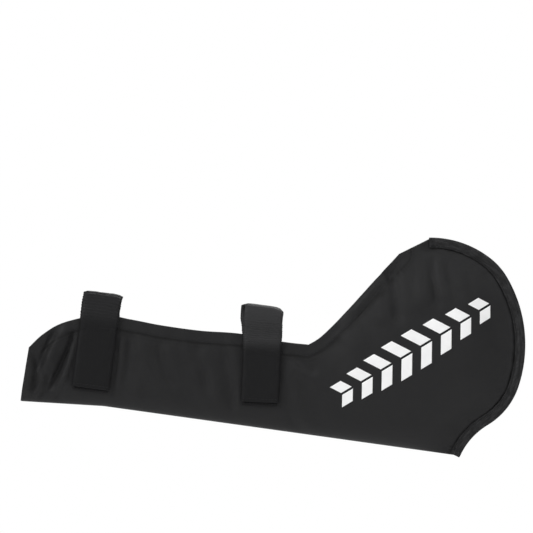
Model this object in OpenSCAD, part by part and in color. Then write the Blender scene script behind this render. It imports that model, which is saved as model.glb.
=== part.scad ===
// Fabric cover for the chainset and the lower chain run of a road bicycle.
// One coated cloth is folded along its straight lower edge into two panels. A folded
// tape binds them round the front lobe. The top, the rear mouth and the opening of the
// lobe stay open and are hemmed. Two webbing straps close with hook and loop tape.
// Frame: origin on the crank axis, +X towards the front wheel, +Z up, and -Y outwards
// on the drive side, so the panel that shows is at negative y.

/* [Fold line] */
// Height of the main fold line below the crank axis, straight under the axis
fold_drop = 95.25; // [88:0.5:104]
// Fall of the main fold line towards the front, in degrees
fold_slope = 7.93; // [5:0.25:10]
// Fall of the rear stretch of the fold line, in degrees
tip_slope = 3.48; // [1:0.25:6]
// Distance from the crank axis back to the kink in the fold line
kink_back = 306.9; // [290:1:330]
// Distance from the crank axis back to the lower corner of the rear mouth
mouth_back = 389.1; // [372:1:405]

/* [Front lobe] */
// Distance from the crank axis forward to the corner where the fold meets the rim
corner_front = 46; // [42:1:54]
// Direction in which the rim leaves that corner, in degrees from the X axis
corner_heading = 65.5; // [62:0.5:70]
// Radius of the hollow stretch of the rim above the corner
flare_r = 70; // [64:1:78]
// Turn of the hollow stretch, in degrees
flare_turn = 34.7; // [32:0.5:38]
// Radius of the rim low at the front
low_r = 68.5; // [63:0.5:74]
// Turn of the rim low at the front, in degrees
low_turn = 40.7; // [38:0.5:44]
// Radius of the front of the rim
front_r = 131; // [124:1:138]
// Turn of the front of the rim, in degrees
front_turn = 48.8; // [46:0.5:52]
// Radius of the shoulder of the rim
shoulder_r = 65; // [60:1:71]
// Turn of the shoulder, in degrees
shoulder_turn = 21; // [18:0.5:24]
// Radius of the crown of the rim
crown_r = 94.6; // [88:1:102]
// Turn of the crown, in degrees
crown_turn = 39.7; // [37:0.5:43]

/* [Open edges] */
// Height of the rear mouth at its top corner, above the crank axis
mouth_top = 5.5; // [0:0.5:12]
// Distance that the top corner of the rear mouth lies in front of its lower corner
mouth_lean = 8.6; // [4:0.2:14]
// Height of the top edge where the rear strap crosses it
rear_rise = 37.5; // [33:0.5:42]
// Height of the top edge midway between the straps
waist_rise = 23; // [19:0.5:27]
// Height of the lowest point of the top edge, behind the lobe
throat_rise = 8; // [4:0.5:12]
// Distance from the crank axis back to that lowest point
throat_back = 104; // [98:1:110]
// Length of the edge left unbound between the binding and the top of the opening
free_edge = 33.6; // [28:0.2:40]
// Direction of that unbound edge, in degrees from the X axis
free_heading = 206.5; // [200:0.5:212]
// Radius of the notch in the inner panel, round the crank axis
notch_r = 34; // [30:0.5:40]
// Width of the turned hem on every open edge
hem_w = 12; // [9:0.5:14]

/* [Depth] */
// Depth of the outer panel from the chain line along the tail
tail_front = 12; // [9:0.5:16]
// Depth of the inner panel from the chain line along the tail
tail_back = 9; // [6:0.5:13]
// Part of that depth which is left at the rear mouth
mouth_keep = 0.8; // [0.6:0.05:1]
// Depth of the outer panel over the end of the crank axle
hub_front = 24; // [18:0.5:30]
// Depth of the inner panel beside the notch
hub_back = 13; // [11:0.5:18]
// Distance over which the bulge round the crank axle dies away
hub_reach = 140; // [120:2:160]
// Height over which the round bottom of the fold reaches the full depth
fold_round = 22; // [18:0.5:28]
// Distance inside the binding over which a panel reaches the full depth
rim_round = 50; // [40:1:60]
// Part of the depth by which the edge of the opening curves in
opening_dip = 0.42; // [0:0.02:0.6]
// Height of the largest soft fold of the cloth
fold_height = 2.2; // [0:0.1:3]

/* [Cloth and tape] */
// Thickness of the coated cloth
cloth_t = 1.0; // [0.7:0.05:1.2]
// Thickness of the binding tape
tape_t = 0.9; // [0.6:0.05:1.2]
// Width of the binding tape that shows on each side of the rim
bind_w = 8.6; // [7:0.5:11]
// Clear space left between layers that lie on each other
layer_gap = 0.3; // [0.25:0.05:0.4]
// Height of the sewing thread above the cloth
thread_h = 0.5; // [0.3:0.05:0.8]
// Width of the sewing thread
thread_w = 0.9; // [0.6:0.05:1.2]
// Distance from one stitch to the next
stitch_pitch = 5.6; // [5:0.2:8]
// Length of one stitch
stitch_l = 3.9; // [3:0.1:4.4]

/* [Straps] */
// Width of the strap webbing
strap_w = 38; // [32:0.5:42]
// Thickness of the strap webbing
strap_t = 1.6; // [1.2:0.1:2]
// Radius of the bends where a strap turns over the top
strap_bend = 9; // [7:0.5:11]
// Length of the hook tape under the free end of a strap
hook_l = 50; // [40:1:56]
// Thickness of the hook tape
hook_t = 1.0; // [0.8:0.1:1.4]
// Length of the loop patch on the outer panel
patch_l = 60; // [54:1:64]
// Thickness of the loop patch
patch_t = 1.2; // [0.8:0.1:1.6]
// Distance by which the loop patch stays inside the strap on each side
patch_inset = 1.5; // [1:0.25:3]
// Distance by which the loop patch shows below the end of the strap
patch_show = 3; // [2:0.5:5]
// Length of strap sewn to the inner panel
anchor_l = 36; // [30:1:40]
// Distance from the crank axis back to the middle of the rear strap's lower end
rear_back = 319.3; // [314:0.5:325]
// Height of the rear strap's lower end below the crank axis
rear_end_drop = 34.7; // [31:0.5:38]
// Height of the top of the rear strap
rear_top = 58.6; // [54:0.5:64]
// Lean of the rear strap, in degrees
rear_lean = 7.5; // [4:0.5:10]
// Distance from the crank axis back to the middle of the front strap's lower end
front_back = 151.8; // [148:0.5:156]
// Height of the front strap's lower end below the crank axis
front_end_drop = 48.5; // [45:0.5:52]
// Height of the top of the front strap
front_top = 46.5; // [42:0.5:52]
// Lean of the front strap, in degrees
front_lean = 2.6; // [0:0.2:5]

/* [Reflective print] */
// Length of the printed band along its slope
print_l = 182; // [160:2:188]
// Height of the largest chevron of the printed band
print_h = 40; // [30:1:44]
// Slope of the printed band, in degrees
print_slope = 31; // [27:1:34]
// Number of chevrons in the band
print_count = 8; // [6:1:9]
// Thickness of the printed film
print_t = 0.3; // [0.2:0.05:0.4]

/* [Hidden] */

cloth_color = "#303032";
tape_color = "#2a2a2b";
webbing_color = "#242425";
hook_color = "#1c1c1d";
thread_color = "#3c3c3e";
print_color = "#f0f0f0";

// Curves and steps that the shapes share
function clamp01(t) = min(1, max(0, t));
function ease(t) = let (c = clamp01(t)) c * c * (3 - 2 * c);
function mix(a, b, t) = a + (b - a) * t;
function unit(v) = v / max(norm(v), 0.000001);
function last(list) = list[len(list) - 1];
function running(lengths, i = 0, sum = 0) =
    i == len(lengths) ? [sum] : concat([sum], running(lengths, i + 1, sum + lengths[i]));
function spans(curve) = [for (i = [0:len(curve) - 2]) norm(curve[i + 1] - curve[i])];

// Point at the distance s along a curve of points, with running lengths r
function along(curve, r, s) =
    let (n = len(curve) - 1,
         i = min(n - 1, max(0, len([for (k = [1:n]) if (r[k] < s) 1]))))
    mix(curve[i], curve[i + 1], clamp01((s - r[i]) / max(r[i + 1] - r[i], 0.000001)));

// Smooth curve through a few points, with a number of steps in each span
function smooth(p, steps) =
    concat([for (i = [0:len(p) - 2], k = [0:steps - 1])
        let (a = p[max(i - 1, 0)], b = p[i], c = p[i + 1], d = p[min(i + 2, len(p) - 1)],
             t = k / steps)
        0.5 * (2 * b + (c - a) * t + (2 * a - 5 * b + 4 * c - d) * t * t
               + (3 * b - a - 3 * c + d) * t * t * t)], [last(p)]);

// Fold line of the lower edge, as a height for each x
function fold_z(x) = x < -kink_back
    ? -fold_drop + kink_back * tan(fold_slope) - (x + kink_back) * tan(tip_slope)
    : -fold_drop - x * tan(fold_slope);
corner = [corner_front, fold_z(corner_front)];

// Rim of the lobe, as a chain of tangent arcs from the corner to the end of the binding
rim_arcs = [[flare_r, -flare_turn], [low_r, low_turn], [front_r, front_turn],
            [shoulder_r, shoulder_turn], [crown_r, crown_turn]];
arc_steps = 5;
function rim_points(i, p, heading) = i == len(rim_arcs) ? [p] :
    let (r = rim_arcs[i][0], turn = rim_arcs[i][1], side = sign(turn),
         centre = p + side * r * [-sin(heading), cos(heading)],
         arc = [for (k = [0:arc_steps - 1])
             centre + side * r * [sin(heading + turn * k / arc_steps),
                                  -cos(heading + turn * k / arc_steps)]],
         end = centre + side * r * [sin(heading + turn), -cos(heading + turn)])
    concat(arc, rim_points(i + 1, end, heading + turn));
rim = rim_points(0, corner, corner_heading);
rim_run = running(spans(rim));
rim_l = last(rim_run);
rim_end = last(rim);
opening_top = rim_end + free_edge * [cos(free_heading), sin(free_heading)];

// Open edge of the outer panel, from the top of the rear mouth to the top of the opening
mouth_corner = [-mouth_back, fold_z(-mouth_back)];
mouth_head = [mouth_corner[0] + mouth_lean, mouth_top];
throat = [-throat_back, throat_rise];
tail_edge = smooth([mouth_head, [mouth_head[0] + 14.5, mix(mouth_top, rear_rise, 0.42)],
                    [mouth_head[0] + 35.5, mix(mouth_top, rear_rise, 0.78)],
                    [-rear_back + 10.3, rear_rise], [-rear_back + 39.3, rear_rise - 4.5],
                    [-mix(rear_back, front_back, 0.414), waist_rise + 4.2],
                    [-mix(rear_back, front_back, 0.647), waist_rise - 1.2],
                    [-front_back - 19.2, waist_rise - 4.2],
                    [throat[0] - 26, throat_rise + 3], throat], 6);
opening_edge = smooth([throat, throat + [14, 9], mix(throat, opening_top, 0.4) + [2, -3],
                       mix(throat, opening_top, 0.72) + [2, 0], opening_top], 6);

// Open edge of the inner panel in the lobe, with the notch round the crank axis
notch_edge = smooth(concat([throat, throat + [40, -16]],
    [for (a = [228:28:396]) notch_r * [cos(a), sin(a)]],
    [mix(notch_r * [cos(40), sin(40)], opening_top, 0.55) + [4, 2], opening_top]), 4);

// Distances of a point from the closed edges
function segment_gap(p, a, b) =
    let (d = b - a, t = clamp01(((p - a) * d) / (d * d))) norm(p - a - t * d);
function rim_gap(p) = min([for (i = [0:len(rim) - 2]) segment_gap(p, rim[i], rim[i + 1])]);
function fold_gap(p) = (p[1] - fold_z(p[0])) * cos(fold_slope);

// Straps: middle of the lower end, height of the top, lean, depth of the loop outside
// and inside the chain line, and lean added towards the top
rear = [[-rear_back, -rear_end_drop], rear_top, rear_lean, 15, 15, 0];
front = [[-front_back, -front_end_drop], front_top, front_lean, 25, 21, 5];
function strap_x(s, z) = s[0][0] + (z - s[0][1]) * tan(s[2]);
function strap_mask(s, p) = ease((abs(p[0] - strap_x(s, p[1])) - strap_w / 2 - 3) / 5);

// Soft folds of the cloth: start, end, half width and share of the fold height
soft_folds = [
    [[-331, 26], [-366, -46], 6.5, -1.0],
    [[-339, 12], [-355, -44], 6.0, 0.8],
    [[-352, 22], [-371, -20], 9.0, 0.7],
    [[-372, -16], [-377, -44], 5.0, -0.5],
    [[-291, 4], [-297, -46], 6.0, -0.7],
    [[-279, 26], [-284, -50], 9.0, 0.5],
    [[-252, 8], [-262, -54], 9.0, -0.45],
    [[-226, 10], [-236, -58], 12.0, 0.35],
    [[-183, 12], [-190, -60], 8.0, -0.4],
    [[-14, 84], [-6, 34], 10.0, -1.0],
    [[8, 96], [7, 36], 8.0, 0.7],
    [[24, 84], [30, 42], 8.0, -0.8]];
function fold_wave(f, p) =
    let (d = f[1] - f[0], t = ((p - f[0]) * d) / (d * d),
         side = norm(p - f[0] - t * d))
    f[3] * exp(-pow(side / f[2], 2)) * ease((t + 0.25) / 0.35) * ease((1.2 - t) / 0.35);
function folds(p) = fold_height * strap_mask(rear, p) * strap_mask(front, p)
    * [for (f = soft_folds) fold_wave(f, p)] * [for (f = soft_folds) 1];

// Depth of the middle of the outer panel and of the inner panel, at [x, z]
pinch = (cloth_t + layer_gap) / 2;
flat_past = 4.5;
function swell(p, tail, hub) =
    let (keep = mix(mouth_keep, 1, ease((p[0] + mouth_back) / 90)),
         bulge = ease(1 - norm(p + [10, 0]) / hub_reach))
    mix(tail * keep, hub, bulge);
function closed_edges(p) =
    let (f = clamp01(fold_gap(p) / fold_round),
         r = clamp01((rim_gap(p) - bind_w - flat_past) / rim_round))
    sqrt(max(0, 1 - pow(1 - f, 2))) * sin(90 * r);
function opening_gap(p) = segment_gap(p, throat + [14, 9], opening_top);
function front_depth(p) =
    let (c = closed_edges(p), dip = opening_dip * exp(-pow(opening_gap(p) / 24, 2)))
    pinch * ease(fold_gap(p) / 0.8)
    + c * (swell(p, tail_front, hub_front) * (1 - dip) + folds(p));
function back_depth(p) = pinch * ease(fold_gap(p) / 0.8)
    + closed_edges(p) * swell(p, tail_back, hub_back);

// Stations along the closed edge, each with its place on the fold or on the rim
hem_step = 0.8;
hem_press = 0.8;
function steps(a, b, n) = [for (k = [1:n]) mix(a, b, k / n)];
tail_x = concat([-mouth_back, -mouth_back + hem_w, -mouth_back + hem_w + hem_step],
    steps(-mouth_back + hem_w + hem_step, -rear_back - strap_w / 2, 6),
    steps(-rear_back - strap_w / 2, -rear_back + strap_w / 2 + 4, 4),
    steps(-rear_back + strap_w / 2 + 4, -rear_back + strap_w / 2 + 40, 6),
    steps(-rear_back + strap_w / 2 + 40, -throat_back + 4, 11));
lobe_x = steps(-throat_back + 4, corner_front, 8);
rim_s = concat(steps(0, rim_l - hem_w - hem_step, 22), [rim_l - hem_w, rim_l]);
corner_i = len(tail_x) + len(lobe_x) - 1;
closed_edge = concat([for (x = tail_x) [x, fold_z(x)]], [for (x = lobe_x) [x, fold_z(x)]],
    [for (s = rim_s) along(rim, rim_run, s)]);
station_n = len(closed_edge);

// Matching stations along an open edge: the tail edge and then a lobe edge
tail_run = running(spans(tail_edge));
function tail_match(x) =
    let (t = (x + mouth_back) / (mouth_back - throat_back + 4),
         want = mix(mouth_head[0], throat[0], t),
         i = max(0, len([for (p = tail_edge) if (p[0] < want) 1]) - 1),
         a = tail_edge[min(i, len(tail_edge) - 2)], b = tail_edge[min(i + 1, len(tail_edge) - 1)])
    mix(a, b, clamp01((want - a[0]) / (b[0] - a[0])));
function lobe_match(edge) =
    let (run = running(spans(edge)), total = last(run), share = 0.35)
    concat([for (x = lobe_x)
            along(edge, run, total * share * (x + throat_back - 4) / (corner_front + throat_back - 4))],
        [for (s = rim_s)
            let (left = rim_l - s)
            along(edge, run, left < hem_w + hem_step + 0.01 ? total - left
                : mix(total * share, total - hem_w - hem_step, s / (rim_l - hem_w - hem_step)))]);
front_edge = concat([for (x = tail_x) tail_match(x)], lobe_match(opening_edge));
back_edge = concat([for (x = tail_x) tail_match(x)], lobe_match(notch_edge));

// Rows of a panel, from the closed edge to the open edge
near_rows = [0, 1.2, 4.5, bind_w + 1, bind_w + 7, bind_w + 16];
mid_rows = 3;
row_n = len(near_rows) + mid_rows + 3;
function row_places(length) =
    let (fit = min(1, (length - hem_w - hem_step) / (last(near_rows) * 1.3)),
         from = last(near_rows) * fit, to = length - hem_w - hem_step)
    concat(near_rows * fit, [for (k = [1:mid_rows]) mix(from, to, k / (mid_rows + 1))],
        [to, to + hem_step, length]);
function panel_point(i, k, open_edge, side) =
    let (a = closed_edge[i], b = open_edge[i], l = norm(b - a),
         p = mix(a, b, row_places(l)[k] / l),
         depth = side < 0 ? front_depth(p) : back_depth(p))
    [p[0], k == 0 ? (i > corner_i ? side * pinch : 0) : side * depth, p[1]];
front_grid = [for (i = [0:station_n - 1]) [for (k = [0:row_n - 1]) panel_point(i, k, front_edge, -1)]];
back_grid = [for (i = [0:station_n - 1]) [for (k = [0:row_n - 1]) panel_point(i, k, back_edge, 1)]];

// Normal of a grid of points at a place, pointing out of the cover
function grid_normal(g, i, k) =
    unit(cross(g[min(i + 1, len(g) - 1)][k] - g[max(i - 1, 0)][k],
               g[i][min(k + 1, len(g[0]) - 1)] - g[i][max(k - 1, 0)]));
function panel_normal(side, i, k) =
    let (g = side < 0 ? front_grid : back_grid)
    k == 0 && i <= corner_i
        ? unit(cross(front_grid[min(i + 1, station_n - 1)][0] - front_grid[max(i - 1, 0)][0],
                     front_grid[i][1] - back_grid[i][1]))
        : -side * grid_normal(g, i, k);
// The turned cloth of a hem adds this to the thickness, less where the panels meet
function hem_extra(p) = min(cloth_t * hem_press, max(0, abs(p[1]) - pinch));
function hemmed(i, k) = i <= 1 || i >= station_n - 2 || k >= row_n - 2;

// Solid between two layers of points, from triangles and the edges left free
module layered(outside, inside, triangles, free_edges) {
    n = len(outside);
    faces = concat(triangles,
        [for (t = triangles) [t[0] + n, t[2] + n, t[1] + n]],
        [for (e = free_edges) [e[0] + n, e[1] + n, e[1]]],
        [for (e = free_edges) [e[0] + n, e[1], e[0]]]);
    polyhedron(points = concat(outside, inside), faces = [for (f = faces) [f[2], f[1], f[0]]],
               convexity = 10);
}

// Sheet of even thickness on a grid of points
module sheet(g, t) {
    ni = len(g);
    nk = len(g[0]);
    function at(i, k) = i * nk + k;
    normals = [for (i = [0:ni - 1], k = [0:nk - 1]) grid_normal(g, i, k)];
    points = [for (i = [0:ni - 1], k = [0:nk - 1]) g[i][k]];
    layered([for (m = [0:len(points) - 1]) points[m] + normals[m] * t / 2],
            [for (m = [0:len(points) - 1]) points[m] - normals[m] * t / 2],
            [for (i = [0:ni - 2], k = [0:nk - 2], half = [0, 1])
                half == 0 ? [at(i, k), at(i + 1, k), at(i + 1, k + 1)]
                          : [at(i, k), at(i + 1, k + 1), at(i, k + 1)]],
            concat([for (i = [0:ni - 2]) [at(i, 0), at(i + 1, 0)]],
                   [for (k = [0:nk - 2]) [at(ni - 1, k), at(ni - 1, k + 1)]],
                   [for (i = [ni - 1:-1:1]) [at(i, nk - 1), at(i - 1, nk - 1)]],
                   [for (k = [nk - 1:-1:1]) [at(0, k), at(0, k - 1)]]));
}

// The folded cloth: both panels in one piece, joined along the fold and free at the rim
module cover_shell() {
    base = station_n * row_n;
    rows_in = row_n - 1;
    function out_at(i, k) = i * row_n + k;
    function in_at(i, k) = i <= corner_i
        ? (k == 0 ? out_at(i, 0) : base + i * rows_in + k - 1)
        : base + (corner_i + 1) * rows_in + (i - corner_i - 1) * row_n + k;
    places = concat([for (i = [0:station_n - 1], k = [0:row_n - 1]) [-1, i, k]],
        [for (i = [0:corner_i], k = [1:row_n - 1]) [1, i, k]],
        [for (i = [corner_i + 1:station_n - 1], k = [0:row_n - 1]) [1, i, k]]);
    middles = [for (p = places) (p[0] < 0 ? front_grid : back_grid)[p[1]][p[2]]];
    normals = [for (p = places) panel_normal(p[0], p[1], p[2])];
    quads_out = [for (i = [0:station_n - 2], k = [0:row_n - 2])
        [out_at(i, k), out_at(i + 1, k), out_at(i + 1, k + 1), out_at(i, k + 1)]];
    quads_in = [for (i = [0:station_n - 2], k = [0:row_n - 2])
        [in_at(i, k), in_at(i, k + 1), in_at(i + 1, k + 1), in_at(i + 1, k)]];
    end_i = station_n - 1;
    end_k = row_n - 1;
    color(cloth_color)
    layered([for (m = [0:len(places) - 1]) middles[m] + normals[m] * cloth_t / 2],
            [for (m = [0:len(places) - 1]) middles[m] - normals[m] * (cloth_t / 2
                + (hemmed(places[m][1], places[m][2]) ? hem_extra(middles[m]) : 0))],
            concat([for (q = concat(quads_out, quads_in)) [q[0], q[1], q[2]]],
                   [for (q = concat(quads_out, quads_in)) [q[0], q[2], q[3]]]),
            concat([for (i = [corner_i:end_i - 1]) [out_at(i, 0), out_at(i + 1, 0)]],
                   [for (k = [0:end_k - 1]) [out_at(end_i, k), out_at(end_i, k + 1)]],
                   [for (i = [end_i:-1:1]) [out_at(i, end_k), out_at(i - 1, end_k)]],
                   [for (k = [end_k:-1:1]) [out_at(0, k), out_at(0, k - 1)]],
                   [for (i = [corner_i:end_i - 1]) [in_at(i + 1, 0), in_at(i, 0)]],
                   [for (k = [0:end_k - 1]) [in_at(end_i, k + 1), in_at(end_i, k)]],
                   [for (i = [end_i:-1:1]) [in_at(i - 1, end_k), in_at(i, end_k)]],
                   [for (k = [end_k:-1:1]) [in_at(0, k - 1), in_at(0, k)]]));
}

// Outward direction of the rim in the plane of the cover, at a station
function rim_out(i) =
    let (a = closed_edge[max(i - 1, corner_i)], b = closed_edge[min(i + 1, station_n - 1)],
         d = unit(b - a)) [d[1], -d[0]];

// Folded tape round the edges of both panels, from the corner to the unbound stretch
tape_y = pinch + cloth_t / 2 + layer_gap + tape_t / 2;
bound = [for (i = [corner_i:station_n - 1]) i];
tape_section = [[-bind_w, -1], [-bind_w * 0.5, -1], [0.2, -1], [0.9, -0.62], [1.1, 0],
                [0.9, 0.62], [0.2, 1], [-bind_w * 0.5, 1], [-bind_w, 1]];
module rim_binding() {
    overrun = unit(closed_edge[corner_i] - closed_edge[corner_i + 1]) * 2;
    color(tape_color)
    sheet([for (i = bound) [for (s = tape_section)
        let (p = closed_edge[i] + rim_out(i) * s[0] + (i == corner_i ? overrun : [0, 0]))
        [p[0], s[1] * tape_y, p[1]]]], tape_t);
}

// Heights of the layers above the middle of the outer panel
patch_lift = cloth_t / 2 + layer_gap + patch_t / 2;
hook_lift = patch_lift + patch_t / 2 + layer_gap + hook_t / 2;
strap_lift = hook_lift + hook_t / 2 + layer_gap + strap_t / 2;
anchor_lift = cloth_t / 2 + layer_gap + strap_t / 2;

// Place on the leg of a strap: height z, and share c of the half width h to the right
function leg_place(s, z, c, h) =
    let (lean = s[2] + s[5] * ease((z - s[0][1] - patch_l) / (s[1] - s[0][1] - patch_l)))
    [strap_x(s, z) + c * h * cos(lean), z - c * h * sin(lean)];

// Stations of a strap: height, kind of stretch, and y share or angle there
function leg_lift_z(s) = s[0][1] + patch_l + 2;
function strap_stations(s) =
    let (low = s[0][1], lift = leg_lift_z(s), turn = s[1] - strap_bend, sew = anchor_top(s))
    concat([for (k = [0:6]) ["out", mix(low, lift, k / 6)]],
           [for (k = [1:4]) ["rise", mix(lift, turn, k / 4)]],
           [for (a = [22.5:22.5:90]) ["over", a]],
           [for (a = [90:22.5:180]) ["down", a]],
           [for (k = [1:4]) ["fall", mix(turn, sew, k / 4)]],
           [for (k = [1:3]) ["sewn", mix(sew, sew - anchor_l, k / 3)]]);
function anchor_top(s) = tail_match(strap_x(s, 0))[1] - hem_w * 0.6;
function strap_point(s, station, c) =
    let (kind = station[0], v = station[1], out = s[3], back = s[4], h = strap_w / 2,
         turn = s[1] - strap_bend,
         z = kind == "over" || kind == "down" ? turn + strap_bend * sin(v) : v,
         p = leg_place(s, z, c, h),
         sew = anchor_top(s),
         y = kind == "out" ? -(front_depth(p) + strap_lift)
           : kind == "rise" ? -mix(front_depth(leg_place(s, min(z, leg_lift_z(s)), c, h)) + strap_lift,
                out, ease((z - leg_lift_z(s)) / (turn - leg_lift_z(s))))
           : kind == "over" ? -(out - strap_bend + strap_bend * cos(v))
           : kind == "down" ? back - strap_bend - strap_bend * cos(v)
           : kind == "fall" ? mix(back_depth(leg_place(s, sew, c, h)) + anchor_lift, back,
                ease((z - sew) / (turn - sew)))
           : back_depth(p) + anchor_lift)
    [p[0], y, p[1]];
across = [-1, -0.34, 0.34, 1];
module strap(s) {
    color(webbing_color)
    sheet([for (station = strap_stations(s)) [for (c = across) strap_point(s, station, -c)]], strap_t);
}
module rear_strap() { strap(rear); }
module front_strap() { strap(front); }

// Flat piece under a strap, between two heights, at a lift above the outer panel
tab_rows = 10;
function tab_grid(s, low, high, h, lift) =
    [for (k = [0:tab_rows]) [for (c = across)
        let (p = leg_place(s, mix(low, high, k / tab_rows), -c, h))
        [p[0], -(front_depth(p) + lift), p[1]]]];
module hook_tape(s) {
    color(hook_color)
    sheet(tab_grid(s, s[0][1] + 1.5, s[0][1] + 1.5 + hook_l, strap_w / 2 - patch_inset / 2, hook_lift),
          hook_t);
}
module loop_patch(s) {
    color(webbing_color)
    sheet(tab_grid(s, s[0][1] - patch_show, s[0][1] - patch_show + patch_l,
                   strap_w / 2 - patch_inset, patch_lift), patch_t);
}
module rear_hook_tape() { hook_tape(rear); }
module front_hook_tape() { hook_tape(front); }
module rear_loop_patch() { loop_patch(rear); }
module front_loop_patch() { loop_patch(front); }

// One stitch: a low prism of thread from a to b, standing on a surface with normal n
module stitch(a, b, n) {
    d = unit(b - a);
    w = unit(cross(n, d)) * thread_w / 2;
    foot = layer_gap * 0.7;
    p = [a - w + n * foot, a + w + n * foot, a + n * (foot + thread_h),
         b - w + n * foot, b + w + n * foot, b + n * (foot + thread_h)];
    polyhedron(points = p, faces = [[0, 2, 1], [3, 4, 5], [0, 1, 4], [0, 4, 3],
                                    [1, 2, 5], [1, 5, 4], [2, 0, 3], [2, 3, 5]]);
}

// Whether a point lies under a strap, where no loose stitches go
function under_strap(p) = min([for (s = [rear, front])
    abs(p[0] - strap_x(s, p[2])) - strap_w / 2]) < stitch_l;

// Row of stitches along a line of surface points, with a normal at each point, a length
// left free at both ends, and a gap where a strap covers it
module stitch_row(line, normals, ends = 0, skip = false) {
    run = running(spans(line));
    count = max(1, floor((last(run) - 2 * ends) / stitch_pitch));
    margin = (last(run) - count * stitch_pitch) / 2;
    for (k = [0:count - 1]) {
        from = margin + k * stitch_pitch + (stitch_pitch - stitch_l) / 2;
        i = min(len(line) - 1, max(0, len([for (v = run) if (v < from) 1]) - 1));
        a = along(line, run, from);
        if (!(skip && under_strap(a)))
            stitch(a, along(line, run, from + stitch_l), normals[i]);
    }
}

// Distance of the bar tacks from the ends of the binding
tack_back = 3.5;

// Two rows that hold the binding, one on each side of the rim
module rim_stitching() {
    face = tape_y + tape_t / 2;
    color(thread_color)
    for (side = [-1, 1])
        stitch_row([for (i = bound) let (p = closed_edge[i] - rim_out(i) * (bind_w - 1.6))
                       [p[0], side * face, p[1]]],
                   [for (i = bound) [0, side, 0]], ends = tack_back + thread_w * 2);
}

// Surface point of a panel between its last two rows, and the normal there
function hem_point(side, i, t) =
    let (g = side < 0 ? front_grid : back_grid, k = row_n - 2)
    mix(g[i][k], g[i][k + 1], t) + panel_normal(side, i, k) * cloth_t / 2;

// Rows that hold the turned hems of both panels
module hem_stitching() {
    color(thread_color)
    for (side = [-1, 1])
        stitch_row([for (i = [1:station_n - 2]) hem_point(side, i, 0.16)],
                   [for (i = [1:station_n - 2]) panel_normal(side, i, row_n - 2)], skip = true);
}

// Closed box of stitches on the sewn end of a strap and a row across its free end
module strap_stitching(s) {
    top = anchor_top(s) - 3;
    low = anchor_top(s) - anchor_l + 3;
    h = strap_w / 2 - 3;
    lift = anchor_lift + strap_t / 2;
    function sewn(z, c) = let (p = leg_place(s, z, c, h)) [p[0], back_depth(p) + lift, p[1]];
    function rows(z0, z1, c0, c1) = [for (k = [0:4]) sewn(mix(z0, z1, k / 4), mix(c0, c1, k / 4))];
    level = [for (k = [0:4]) [0, 1, 0]];
    end_line = [for (k = [0:4])
        let (p = leg_place(s, s[0][1] + 3, mix(-1, 1, k / 4), h))
        [p[0], -(front_depth(p) + strap_lift + strap_t / 2), p[1]]];
    color(thread_color) {
        for (z = [top, low]) stitch_row(rows(z, z, -1, 1), level);
        for (c = [-1, 1]) stitch_row(rows(low + 2, top - 2, c, c), level);
        stitch_row(end_line, [for (k = [0:4]) [0, -1, 0]]);
    }
}
module rear_strap_stitching() { strap_stitching(rear); }
module front_strap_stitching() { strap_stitching(front); }

// Row that holds the loop patch along its lower edge, where it shows below the strap
module patch_stitching(s) {
    z = s[0][1] - patch_show / 2 - 0.2;
    h = strap_w / 2 - patch_inset - 2;
    color(thread_color)
    stitch_row([for (k = [0:4])
        let (p = leg_place(s, z, mix(-1, 1, k / 4), h))
        [p[0], -(front_depth(p) + patch_lift + patch_t / 2), p[1]]],
        [for (k = [0:4]) [0, -1, 0]]);
}
module rear_patch_stitching() { patch_stitching(rear); }
module front_patch_stitching() { patch_stitching(front); }

// Dense bars of thread across both ends of the binding, on both sides
module bar_tacks() {
    face = tape_y + tape_t / 2 + layer_gap / 2;
    bar_l = bind_w * 0.7;
    color(thread_color)
    for (i = [corner_i, station_n - 1], side = [-1, 1]) {
        out = rim_out(i);
        inward = i == station_n - 1 ? -1 : 1;
        run = [-out[1], out[0]] * inward * tack_back;
        middle = closed_edge[i] + run - out * bind_w * 0.5;
        translate([middle[0], side * (face + thread_h / 2), middle[1]])
        rotate([0, -atan2(out[1], out[0]), 0])
        cube([bar_l, thread_h, thread_w * 2], center = true);
    }
}

// Sloping band of reflective chevrons in two arms each, largest in the middle
module reflective_print() {
    pitch = print_l / print_count;
    arm_w = pitch * 0.54;
    sweep = 0.62;
    lift = cloth_t / 2 + layer_gap + print_t / 2;
    function print_place(u, v) =
        [u * cos(print_slope) - v * sin(print_slope), u * sin(print_slope) + v * cos(print_slope)]
        + [-2, 1];
    color(print_color)
    for (b = [0:print_count - 1]) {
        u0 = (b + 0.5 - print_count / 2) * pitch;
        rise = print_h * (1 - 0.42 * pow(abs(2 * b / (print_count - 1) - 1), 1.4));
        for (arm = [-1, 1])
            sheet([for (k = [0:3]) [for (m = [0:3])
                let (v = arm * mix(1.1, rise / 2, m / 3),
                     u = u0 + mix(-0.5, 0.5, k / 3) * arm_w * arm + sweep * (print_h / 4 - abs(v)),
                     p = print_place(u, v))
                [p[0], -(front_depth(p) + lift), p[1]]]], print_t);
    }
}

cover_shell();
rim_binding();
rear_strap();
front_strap();
rear_hook_tape();
front_hook_tape();
rear_loop_patch();
front_loop_patch();
rim_stitching();
hem_stitching();
rear_strap_stitching();
front_strap_stitching();
rear_patch_stitching();
front_patch_stitching();
bar_tacks();
reflective_print();
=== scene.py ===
"""Fabric cover for the chainset and lower chain of a road bicycle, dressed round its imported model.

One coated cloth is folded along its straight lower edge into an outer and an inner panel. A ribbed tape
binds both round the front lobe, the open edges are hemmed, and two straps close on hook and loop tape.
Lengths in this file are millimetres in the frame of the model: the origin lies on the crank axis, +X
points to the front wheel, +Z up, and the panel that shows lies at negative Y. Meshes are in metres.
"""
import logging
import math
from dataclasses import dataclass, field
from enum import Enum, IntEnum
from typing import Optional, Sequence

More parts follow.
